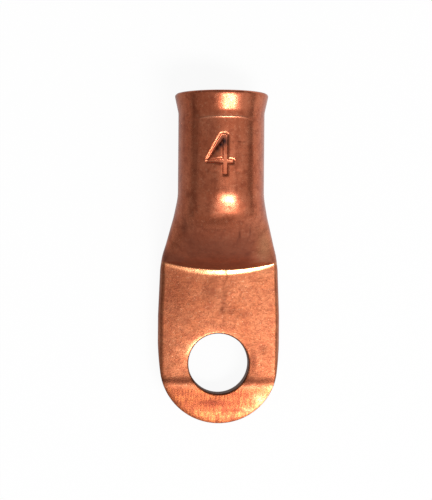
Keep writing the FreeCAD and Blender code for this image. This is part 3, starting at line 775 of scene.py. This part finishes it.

# %% Stains and painted shade on the palm, painted highlights, and painted shade in the stamped number
# Each spot is given by its x, y, half width, half length and strength.
# Painted shade among the stains: the darker spots on the palm's left side, across the middle of the tip and
# just right of the stud hole stand in for shade.
TARNISH_AND_SHADE = [
    (-5.4, 8.4, 2.8, 4.4, 0.55), (-1.2, 8.6, 1.5, 2.0, 0.5), (0.6, 7.4, 0.4, 3.0, 0.5),
    (-6.2, 2.4, 1.0, 4.0, 0.3), (-0.6, -4.6, 3.2, 0.6, 1.0), (2.4, -5.45, 2.0, 0.25, 0.9),
    (2.4, -3.6, 2.4, 0.5, 0.6), (-4.2, -3.0, 1.4, 0.6, 0.4), (5.2, 1.6, 0.9, 0.7, 0.35),
    (0.4, 6.4, 0.35, 0.4, 0.9), (1.7, 6.0, 1.2, 0.5, 0.45), (3.6, -1.7, 0.9, 0.9, 0.6),
    (-4.6, -2.0, 1.6, 0.4, 0.5), (4.0, 0.2, 0.5, 1.9, 0.65), (-6.0, 7.0, 0.8, 5.0, 0.35),
]
WISPS = [
    (1.25, 25.4, 0.3, 0.09, 0.8), (1.85, 25.47, 0.3, 0.09, 0.8), (2.4, 25.5, 0.2, 0.08, 0.6),
    (2.08, 15.0, 0.13, 0.5, 0.9), (1.9, 14.45, 0.11, 0.3, 0.7), (3.3, 15.4, 0.12, 0.5, 0.7),
    (-4.2, 16.0, 0.35, 1.2, 0.5), (3.1, 12.8, 0.35, 0.22, 0.8), (1.5, 12.85, 0.4, 0.2, 0.6),
    (-3.9, 19.5, 0.3, 0.5, 0.5), (-0.6, 15.6, 0.9, 0.12, 0.3),
]
# Painted highlights: pale spots at the tip's right corner and on the ramp's right side, where the lamps'
# light falls.
HIGHLIGHT_SPOTS = [(4.8, -4.1, 0.7, 0.6, 0.3), (3.6, -5.4, 0.7, 0.3, 0.2), (5.1, 13.6, 0.9, 2.2, 0.3)]
# Painted shade: a near-black patch along the inner side of the number's diagonal stroke, where the groove's
# wall lies in shade.
STAMP_SHADE = [(0.14, 25.5, 0.46, 0.6, 1.0), (-0.25, 25.1, 0.4, 0.42, 1.0), (-0.65, 24.65, 0.32, 0.4, 0.85),
        (-1.05, 24.15, 0.26, 0.34, 0.5)]


def smudged(spots):
    """The strongest of the spots at every point of the skin."""
    strength = np.zeros(len(X))
    for x, y, wide, long, depth in spots:
        strength = np.maximum(strength, depth * np.exp(-((X - x) / wide) ** 2 - ((Y - y) / long) ** 2))
    return strength


tarnish = np.maximum(smudged(TARNISH_AND_SHADE) * burnished, smudged(WISPS) * behind)
polished = smudged(HIGHLIGHT_SPOTS) * np.maximum(burnished, behind)
soot = smudged(STAMP_SHADE) * (Z > CROWN_Z)
print("soot points:", int((soot > 0.5).sum()))

# %% Keep the zones on the skin
ZONES = {"burnished": burnished, "pierced": pierced, "blanked": blanked, "rolled_tip": rolled_tip,
         "crease_band": crease_band, "film": film, "tip_crease": tip_crease, "tarnish": tarnish,
         "polished": polished, "soot": soot, "bell_ring": bell_ring, "mark": np.zeros(len(X))}
for name, zone in ZONES.items():
    layer = mesh.attributes.new(name, "FLOAT", "POINT")
    layer.data.foreach_set("value", np.ascontiguousarray(zone, np.float32))
    print("zone %s: %d points above one half" % (name, int((zone > 0.5).sum())))

# %% [markdown]
# The marks are pressed into the finished skin, as they are on the real lug. They could be cut with
# booleans, but pressed metal has no sharp cut, and what the stamp pushes aside moves the metal beside
# it. So a mark is a path that lies on the metal, and one tree of Geometry Nodes moves every point
# along the surface's normal by its distance from that path. Nearer than the half width the metal
# sinks by the depth, over a wall that is straight or rounded. A lip above zero stands up beside it, and
# one below zero is a shoulder that the stamp drew down. Softening evens out steps that the mesh is
# too coarse for. The gauge number has a shoulder, the bell's line is a low ridge, and the rest are
# scratches, wide shallow dents and small nicks.

# %% A helper that adds a node


def add_node(tree, kind, inputs=None, output=None, **settings):
    """Adds a node. An input is a value or another node's socket. Gives back the output that is named."""
    node = tree.nodes.new(kind)
    for name, value in settings.items():
        setattr(node, name, value)
    for key, value in (inputs or {}).items():
        if isinstance(value, bpy.types.NodeSocket):
            tree.links.new(value, node.inputs[key])
        else:
            node.inputs[key].default_value = value
    return node.outputs[0 if output is None else output] if node.outputs else node


# %% Sockets of the tree that presses a mark into a skin
press_mark = bpy.data.node_groups.new("press_mark", "GeometryNodeTree")
sockets = press_mark.interface
sockets.new_socket("Geometry", in_out="INPUT", socket_type="NodeSocketGeometry")
for name, kind in (("Path", "Object"), ("Half Width", "Float"), ("Wall", "Float"), ("Depth", "Float"),
                   ("Lip", "Float"), ("Round", "Float"), ("Soften", "Int"), ("Finish", "Material")):
    sockets.new_socket(name, in_out="INPUT", socket_type="NodeSocket" + kind)
sockets.new_socket("Geometry", in_out="OUTPUT", socket_type="NodeSocketGeometry")
print("sockets:", [item.name for item in sockets.items_tree])

# %% How far each point of the skin moves
tree = press_mark
given = tree.nodes.new("NodeGroupInput").outputs
path = add_node(tree, "GeometryNodeObjectInfo", {"Object": given["Path"]}, "Geometry",
                transform_space="ORIGINAL")
near = add_node(tree, "GeometryNodeProximity", {"Geometry": path}, "Distance", target_element="FACES")
half_wall = add_node(tree, "ShaderNodeMath", {0: given["Wall"], 1: 0.5}, operation="MULTIPLY")
foot = add_node(tree, "ShaderNodeMath", {0: given["Half Width"], 1: half_wall}, operation="SUBTRACT")
brink = add_node(tree, "ShaderNodeMath", {0: given["Half Width"], 1: half_wall}, operation="ADD")
outer = add_node(tree, "ShaderNodeMath", {0: brink, 1: given["Wall"]}, operation="ADD")
slope = add_node(tree, "ShaderNodeMapRange", {"Value": near, "From Min": foot, "From Max": brink}, "Result")
curve = add_node(tree, "ShaderNodeMapRange", {"Value": slope}, "Result", interpolation_type="SMOOTHSTEP")
rising = add_node(tree, "ShaderNodeMix", {0: given["Round"], 2: slope, 3: curve})
sunk = add_node(tree, "ShaderNodeMath", {0: 1.0, 1: rising}, operation="SUBTRACT")
fading = add_node(tree, "ShaderNodeMapRange", {"Value": near, "From Min": brink, "From Max": outer,
                                               "To Min": 1.0, "To Max": 0.0}, "Result")
lip = add_node(tree, "ShaderNodeMath", {0: rising, 1: fading}, operation="MULTIPLY")
lip = add_node(tree, "ShaderNodeMath", {0: lip, 1: given["Lip"]}, operation="MULTIPLY")
fall = add_node(tree, "ShaderNodeMath", {0: sunk, 1: given["Depth"]}, operation="MULTIPLY")
rise = add_node(tree, "ShaderNodeMath", {0: lip, 1: fall}, operation="SUBTRACT")
rise = add_node(tree, "GeometryNodeBlurAttribute", {"Value": rise, "Iterations": given["Soften"]}, "Value",
                data_type="FLOAT")
print("nodes that measure a mark:", len(tree.nodes))

# %% Move the points, and note where the mark is for the finish
outward = add_node(tree, "GeometryNodeInputNormal", None, "Normal")
move = add_node(tree, "ShaderNodeVectorMath", {0: outward, "Scale": rise}, "Vector", operation="SCALE")
moved = add_node(tree, "GeometryNodeSetPosition", {"Geometry": given["Geometry"], "Offset": move})
earlier = add_node(tree, "GeometryNodeInputNamedAttribute", {"Name": "mark"}, "Attribute", data_type="FLOAT")
deepest = add_node(tree, "ShaderNodeMath", {0: earlier, 1: fading}, operation="MAXIMUM")
stored = add_node(tree, "GeometryNodeStoreNamedAttribute",
                  {"Geometry": moved, "Name": "mark", "Value": deepest}, data_type="FLOAT", domain="POINT")
real = add_node(tree, "GeometryNodeRealizeInstances", {"Geometry": stored})
finished = add_node(tree, "GeometryNodeSetMaterial", {"Geometry": real, "Material": given["Finish"]})
add_node(tree, "NodeGroupOutput", {"Geometry": finished})
print("nodes in the tree:", len(tree.nodes))

# %% Heights of the metal that the paths lie on


def on_barrel(x, y):
    return BARREL_R + math.sqrt(BARREL_R ** 2 - x * x)


def on_ramp(x, y):
    half, height, fold, fold_height = outer_sizes(y)
    crown_r = arc_radius(half - fold, height - fold_height - fold, fold)
    return height - crown_r + math.sqrt(crown_r ** 2 - x * x)


def on_palm(x, y):
    return float(palm_top(x, y))


print("the ramp's crown is %.2f mm high at y = 15 mm" % on_ramp(0.0, 15.0))

# %% Paths of the scratches, dents and nicks
SCRATCHES = [fine((1.3, 25.4), (1.6, 25.4), (2.0, 25.5), (2.46, 25.5)),
             fine((-1.35, 22.13), (-0.55, 22.22)), fine((1.4, 22.2), (2.1, 22.12))]
RAMP_SCRATCHES = [fine((1.7, 15.5), (2.05, 15.2), (2.1, 14.7), (1.9, 14.3)),
                  fine((3.1, 15.9), (3.4, 15.4), (3.35, 15.0))]
DENTS = [fine((2.15, 18.25), (2.3, 18.15)), fine((-2.5, 19.5), (-1.9, 19.2))]
NICKS = [[(0.72, 10.9, 0.06), (0.74, 10.3, 0.05), (0.7, 9.6, FINE)], fine((0.6, 6.42), (0.58, 6.2)),
         fine((2.25, 8.3), (2.5, 8.1))]
PATH_STEP = 0.1


def path_object(name, strokes, height):
    """Strokes given as plan points and widths in mm, laid on the metal as narrow strips."""
    corners, faces = [], []
    for stroke in strokes:
        for (x0, y0, w0), (x1, y1, w1) in zip(stroke, stroke[1:]):
            long = math.hypot(x1 - x0, y1 - y0)
            steps = max(1, int(long / PATH_STEP))
            for k in range(steps + 1):
                share = k / steps
                for side in (-0.5, 0.0, 0.5):
                    off = side * (w0 * (1 - share) + w1 * share) / long
                    x = x0 + (x1 - x0) * share - (y1 - y0) * off
                    y = y0 + (y1 - y0) * share + (x1 - x0) * off
                    corners.append((x * MM, y * MM, height(x, y) * MM))
                if k:
                    last = len(corners)
                    faces += [(last - 6, last - 5, last - 2, last - 3),
                              (last - 5, last - 4, last - 1, last - 2)]
    mesh = bpy.data.meshes.new(name)
    mesh.from_pydata(corners, [], faces)
    return put_in_scene(name, mesh)


print("scratches on the barrel: %d, on the ramp: %d" % (len(SCRATCHES), len(RAMP_SCRATCHES)))

# %% Press the marks
copper = bpy.data.materials.new("annealed_pressed_copper")
MARKS = [  # name, strokes, metal below, half width, wall, depth, lip, roundness of the wall, softening
    ("gauge_number", NUMBER, on_barrel, 0.11, 0.15, 0.19, -0.042, 0.0, 1),
    ("bell_line", BELL_LINE, on_barrel, 0.06, 0.14, -0.03, 0.0, 1.0, 0),
    ("scratches", SCRATCHES, on_barrel, 0.04, 0.07, 0.03, 0.004, 1.0, 0),
    ("ramp_scratches", RAMP_SCRATCHES, on_ramp, 0.05, 0.08, 0.03, 0.008, 1.0, 0),
    ("dents", DENTS, on_ramp, 0.2, 0.5, 0.022, 0.0, 1.0, 0),
    ("nicks", NICKS, on_palm, 0.05, 0.10, 0.012, 0.0, 1.0, 0),
]
socket_names = {item.name: item.identifier for item in press_mark.interface.items_tree
                if item.in_out == "INPUT"}
for name, strokes, height, half_width, wall, depth, lip_height, rounding, soften in MARKS:
    press = lug.modifiers.new(name, "NODES")
    press.node_group = press_mark
    for socket, value in (("Path", path_object(name, strokes, height)), ("Half Width", half_width * MM),
                          ("Wall", wall * MM), ("Depth", depth * MM), ("Lip", lip_height * MM),
                          ("Round", rounding), ("Soften", soften), ("Finish", copper)):
        press[socket_names[socket]] = value
marked_mesh = bpy.data.meshes.new_from_object(lug.evaluated_get(bpy.context.evaluated_depsgraph_get()))
lug.modifiers.clear()
lug.data = marked_mesh
for name, *_ in MARKS:
    bpy.data.objects.remove(bpy.data.objects[name])
print("marked lug: %d faces, %d triangles" % (
    len(marked_mesh.polygons), sum(len(face.vertices) - 2 for face in marked_mesh.polygons)))

# %% [markdown]
# The metal is annealed copper tube, drawn to size and then pressed. Bare copper is pink and mirrors
# its surroundings. Annealing leaves a thin reddish brown film that dulls it, drawing leaves faint
# streaks along the tube, and the press rubs the palm bright again, with a satin of fine dents. So the
# eye gets a warm metal with soft highlights, darker where the film is thick. Some light and shade is
# painted into the colour as well: shade by the step, on the palm and in the stamped number, and
# highlights on the band by the crease, the bell's line and a few spots. It could be one colour
# with a picture on top, but noise in the metal's own space has no seams and keeps its size in mm.

# %% Finish: patterns and zones
# The noise lies in the object's own coordinates. Real crystals and satin dents are about 0.03 mm
# across, which is too fine to show, so "grain", "torn", "fine" and "fleck" are drawn as coarse as a
# picture of the whole lug needs. The blotches and streaks have their real size.
PATTERNS = {  # size of a grain in mm, detail, and how the grains are drawn out
    "smudge": (2.2, 3.0, (1.0, 1.0, 1.0)),
    "mottle": (0.9, 4.0, (1.0, 1.0, 1.0)),
    "streak": (0.5, 3.0, (1.0, 0.1, 1.0)),
    "fine": (0.2, 2.0, (1.0, 1.0, 1.0)),
    "fleck": (0.34, 3.0, (1.0, 1.0, 1.0)),
    "drag": (0.22, 3.0, (1.0, 0.12, 1.0)),
    "chatter": (0.55, 2.0, (0.12, 1.0, 1.0)),
    "torn": (0.15, 3.0, (1.0, 1.0, 1.0)),
    "grain": (0.17, 3.0, (1.0, 1.0, 1.0)),
    "waves": (1.3, 1.0, (1.0, 1.0, 1.0)),
}
copper.use_nodes = True
tree = copper.node_tree
tree.nodes.clear()
place = add_node(tree, "ShaderNodeTexCoord", None, "Object")
zone = {name: add_node(tree, "ShaderNodeAttribute", None, "Fac", attribute_name=name) for name in ZONES}
pattern = {}
for name, (size, detail, stretch) in PATTERNS.items():
    laid = add_node(tree, "ShaderNodeMapping", {"Vector": place, "Scale": stretch}, "Vector")
    pattern[name] = add_node(tree, "ShaderNodeTexNoise",
                             {"Vector": laid, "Scale": 1 / (size * MM), "Detail": detail}, "Fac")
print("patterns: %d, zones: %d" % (len(pattern), len(zone)))

# %% Finish: colour
# Each layer lies on those before it, over the whole skin or within its zone. Most are broken up by a
# pattern: such a layer grows from nothing to its strength as the noise goes from one level to the other.
COPPER = "#C46A4A"
COLOURS = [  # zone, strength, colour, and the pattern with its two levels
    (None, 1.0, "#D27A59", "smudge", 0.35, 0.65),
    (None, 0.45, "#984C34", "streak", 0.50, 0.75),
    (None, 0.5, "#964832", "mottle", 0.50, 0.66),
    (None, 0.5, "#DC8E6C", "fleck", 0.44, 0.32),
    ("burnished", 1.0, "#C26F4A"),
    ("burnished", 0.6, "#D2845E", "smudge", 0.35, 0.65),
    ("burnished", 0.5, "#9A4E38", "mottle", 0.46, 0.68),
    ("burnished", 0.5, "#8E4C34", "fleck", 0.50, 0.66),
    ("burnished", 0.4, "#E8AC84", "fleck", 0.37, 0.27),
    ("burnished", 0.6, "#F2BC94", "torn", 0.36, 0.28),
    ("rolled_tip", 1.0, "#8C4A2E"),
    ("rolled_tip", 0.6, "#BE6C3E", "drag", 0.46, 0.60),
    ("rolled_tip", 0.6, "#743824", "drag", 0.48, 0.36),
    ("rolled_tip", 0.5, "#7A3C28", "chatter", 0.48, 0.62),
    # Stains, partly painted shade.
    ("tarnish", 0.95, "#622A1C", "smudge", 0.0, 0.40),
    # Painted highlights.
    ("polished", 0.8, "#ECC08C"),
    # Painted highlight along the band by the crease.
    ("crease_band", 0.45, "#F0B480"),
    ("tip_crease", 0.9, "#5C2E1E"),
    (None, 0.5, "#8A4A32", "fine", 0.50, 0.78),
    # Film, with painted shade by the step.
    ("film", 0.9, "#6C3420"),
    # Painted highlight on the bell's line.
    ("bell_ring", 0.6, "#E8A482"),
    ("mark", 0.1, "#7A4230"),
    # Painted shade in the stamped number.
    ("soot", 0.97, "#241E22"),
    ("pierced", 1.0, "#4E3026"),
    ("pierced", 1.0, "#7A4C3A", "torn", 0.35, 0.65),
    ("blanked", 0.6, "#A0623F"),
]


def linear(code):
    """An sRGB hex colour as the linear values that Blender's sockets take."""
    parts = [int(code[k:k + 2], 16) / 255 for k in (1, 3, 5)]
    return [c / 12.92 if c <= 0.04045 else ((c + 0.055) / 1.055) ** 2.4 for c in parts] + [1.0]


colour = linear(COPPER)
for where, share, code, *broken in COLOURS:
    if broken:
        name, start, end = broken
        share = add_node(tree, "ShaderNodeMapRange", {"Value": pattern[name], "From Min": start,
                                                      "From Max": end, "To Max": share}, "Result")
    if where:
        share = add_node(tree, "ShaderNodeMath", {0: share, 1: zone[where]}, operation="MULTIPLY")
    colour = add_node(tree, "ShaderNodeMix", {0: share, 6: colour, 7: linear(code)}, 2,
                      data_type="RGBA", blend_type="MIX")
print("colour layers:", len(COLOURS))

# %% Finish: gloss
# Drawn copper has a roughness of 0.2 to 0.3. The tool's dents make the palm duller, the band by the
# crease is ironed smooth, and torn metal is dull. The film takes away part of the metal's mirror.
BARE_GLOSS = (0.2, 0.32)
GLOSS = [("burnished", (0.28, 0.42)), ("crease_band", (0.17, 0.25)), ("film", (0.34, 0.44)),
         ("mark", (0.33, 0.42)), ("pierced", (0.5, 0.6))]
FILM_METALLIC = 0.6
FINE_LOW, FINE_HIGH = 0.3, 0.7


def rough_between(smooth, matt):
    """Inputs of a Map Range that goes from smooth to matt with the fine pattern."""
    return {"Value": pattern["fine"], "From Min": FINE_LOW, "From Max": FINE_HIGH,
            "To Min": smooth, "To Max": matt}


rough = add_node(tree, "ShaderNodeMapRange", rough_between(*BARE_GLOSS), "Result")
for name, levels in GLOSS:
    inside = add_node(tree, "ShaderNodeMapRange", rough_between(*levels), "Result")
    rough = add_node(tree, "ShaderNodeMix", {0: zone[name], 2: rough, 3: inside}, 0, data_type="FLOAT")
metallic = add_node(tree, "ShaderNodeMapRange", {"Value": zone["film"], "To Min": 1.0,
                                                 "To Max": FILM_METALLIC}, "Result")
print("zones with their own gloss:", len(GLOSS))

# %% Finish: relief
GRAIN_DEPTH = 0.006
SATIN_DEPTH = 0.006
WAVE_DEPTH = 0.02
IRONED_GRAIN = 0.15

ironed = add_node(tree, "ShaderNodeMath", {0: zone["mark"], 1: zone["crease_band"]}, operation="MAXIMUM")
rubbed = add_node(tree, "ShaderNodeMapRange", {"Value": ironed, "To Min": 1.0, "To Max": IRONED_GRAIN},
                  "Result")
grain = add_node(tree, "ShaderNodeBump", {"Strength": rubbed, "Distance": GRAIN_DEPTH * MM,
                                          "Height": pattern["grain"]}, "Normal")
smoother = add_node(tree, "ShaderNodeMath", {0: zone["crease_band"], 1: zone["rolled_tip"]},
                    operation="MAXIMUM")
dented = add_node(tree, "ShaderNodeMath", {0: zone["burnished"], 1: smoother}, operation="SUBTRACT")
satin = add_node(tree, "ShaderNodeBump", {"Strength": dented, "Distance": SATIN_DEPTH * MM,
                                          "Height": pattern["fleck"], "Normal": grain}, "Normal")
waves = add_node(tree, "ShaderNodeBump", {"Strength": 1.0, "Distance": WAVE_DEPTH * MM,
                                          "Height": pattern["waves"], "Normal": satin}, "Normal")
shader = add_node(tree, "ShaderNodeBsdfPrincipled", {"Base Color": colour, "Metallic": metallic,
                                                     "Roughness": rough, "Normal": waves}, "BSDF")
add_node(tree, "ShaderNodeOutputMaterial", {"Surface": shader})
print("nodes in the finish:", len(tree.nodes))

# %% [markdown]
# The table is matt white card, which has no gloss of its own and gives the eye an even white and a
# soft shadow. More light would make it whiter, but would burn out the copper too. So only the rays
# from the camera see it lifted nearly to plain white, and a little of the shadow stays. The metal
# mirrors a pale card as well, darker to the left of the lug than to its right, as in a room with its
# lamps on one side. This slow change along X is what shapes a polished barrel.

# %% Table card
TABLE_GREY = "#E2E2E2"
PLAIN_WHITE = "#FFFFFF"
SEEN_WHITE = 0.93
MIRRORED_SHARE = 0.8
MIRRORED_LEFT, MIRRORED_RIGHT = 0.36, 0.85
LEFT_X, RIGHT_X = -0.015, 0.015

table_card = bpy.data.materials.new("matt_white_card")
table_card.use_nodes = True
tree = table_card.node_tree
tree.nodes.clear()
ray = tree.nodes.new("ShaderNodeLightPath").outputs
matt = add_node(tree, "ShaderNodeBsdfDiffuse", {"Color": linear(TABLE_GREY)})
across = add_node(tree, "ShaderNodeSeparateXYZ",
                  {"Vector": add_node(tree, "ShaderNodeTexCoord", None, "Object")}, "X")
level = add_node(tree, "ShaderNodeMapRange", {"Value": across, "From Min": LEFT_X, "From Max": RIGHT_X,
                                              "To Min": MIRRORED_LEFT, "To Max": MIRRORED_RIGHT}, "Result")
mirrored = add_node(tree, "ShaderNodeMath", {0: ray["Is Glossy Ray"], 1: ray["Is Transmission Ray"]},
                    operation="MAXIMUM")
mirrored = add_node(tree, "ShaderNodeMath", {0: mirrored, 1: MIRRORED_SHARE}, operation="MULTIPLY")
pale = add_node(tree, "ShaderNodeEmission", {"Color": linear(PLAIN_WHITE), "Strength": level})
matt = add_node(tree, "ShaderNodeMixShader", {0: mirrored, 1: matt, 2: pale})
seen = add_node(tree, "ShaderNodeMath", {0: ray["Is Camera Ray"], 1: SEEN_WHITE}, operation="MULTIPLY")
white = add_node(tree, "ShaderNodeEmission", {"Color": linear(PLAIN_WHITE), "Strength": 1.0})
matt = add_node(tree, "ShaderNodeMixShader", {0: seen, 1: matt, 2: white})
add_node(tree, "ShaderNodeOutputMaterial", {"Surface": matt})
print("nodes in the card:", len(tree.nodes))

# %% The table under the lug
FLOOR_HALF = 0.6
floor_z = cad_box[0][2]
floor_mesh = bpy.data.meshes.new("table")
floor_mesh.from_pydata([(x * FLOOR_HALF, y * FLOOR_HALF, floor_z)
                        for x, y in ((-1, -1), (1, -1), (1, 1), (-1, 1))], [], [(0, 1, 2, 3)])
floor_mesh.materials.append(table_card)
floor = put_in_scene("table", floor_mesh)
print("table at z = %.2f mm" % (floor_z / MM))

# %% [markdown]
# Metal shows the shapes of its lamps. A point light would leave pin pricks on the barrel, and a bright
# sky would make it flat. So a small strip gives the white spots on the bell and the shoulder, with a
# larger and weaker one round it for their glow, a big softbox lights the right side and the palm, and
# a sheet opposite fills in the left. The world's plain grey is the weak light of the room.

# %% Light
WORLD = 0.23
AIM_Y = 12 * MM
LAMPS = [  # name, width, height and distance in m, degrees right and down, power in W, spread in degrees
    ("strip_lamp", 0.44, 0.14, 0.9, 18, 23, 6.4, 180),
    ("strip_glow", 0.8, 0.6, 0.92, 18, 28, 0.6, 180),
    ("softbox", 1.6, 2.4, 0.8, 34, 24, 4.3, 150),
    ("fill_sheet", 1.0, 2.2, 0.8, -37, 22, 1.3, 180),
]
world = bpy.data.worlds.new("studio")
world.use_nodes = True
world.node_tree.nodes["Background"].inputs["Color"].default_value = (1, 1, 1, 1)
world.node_tree.nodes["Background"].inputs["Strength"].default_value = WORLD
bpy.context.scene.world = world
for name, width, height, far, right, down, power, spread in LAMPS:
    data = bpy.data.lights.new(name, "AREA")
    data.shape = "RECTANGLE"
    data.size = width
    data.size_y = height
    data.energy = power
    data.spread = math.radians(spread)
    lamp = put_in_scene(name, data)
    lamp.rotation_euler = (math.radians(down), math.radians(right), 0)
    lamp.location = lamp.rotation_euler.to_matrix() @ Vector((0, 0, far)) + Vector((0, AIM_Y, 0))
print("lamps: %d, %.1f W in all" % (len(LAMPS), sum(power for *_, power, _ in LAMPS)))

# %% [markdown]
# The camera looks straight down from 171 mm, close enough that the mouth, which is nearer to it than
# the table, looks a little larger. It could stand over the middle of the lug, but the real picture
# was taken from over its left side. So it stands there, and a small shift of the lens brings the lug
# back to the middle. The focal length is given in pixels of the picture's longer side.

# %% Camera
SENSOR = 36.0
FOCAL_PX = 1440.0
FRAME_PX = (432, 500)
CAMERA_AT = (-8.0, 13.47, 171.0)
AIM_PX = (151.0, 248.0)
TURN = 0.45
CLIP_START = 0.01

camera_data = bpy.data.cameras.new("camera")
camera_data.sensor_width = SENSOR
camera_data.lens = SENSOR * FOCAL_PX / FRAME_PX[1]
camera_data.shift_x = (FRAME_PX[0] / 2 - AIM_PX[0]) / FRAME_PX[1]
camera_data.shift_y = (AIM_PX[1] - FRAME_PX[1] / 2) / FRAME_PX[1]
camera_data.clip_start = CLIP_START
camera = put_in_scene("camera", camera_data)
camera.location = Vector(CAMERA_AT) * MM
camera.rotation_euler = (0, 0, math.radians(TURN))
bpy.context.scene.camera = camera
bpy.context.scene.view_settings.view_transform = "Standard"
print("lens %.1f mm, shift %.3f and %.3f" % (camera_data.lens, camera_data.shift_x, camera_data.shift_y))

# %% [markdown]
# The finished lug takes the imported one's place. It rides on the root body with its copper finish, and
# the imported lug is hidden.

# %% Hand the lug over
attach(lug, "root")
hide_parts("cable_lug")
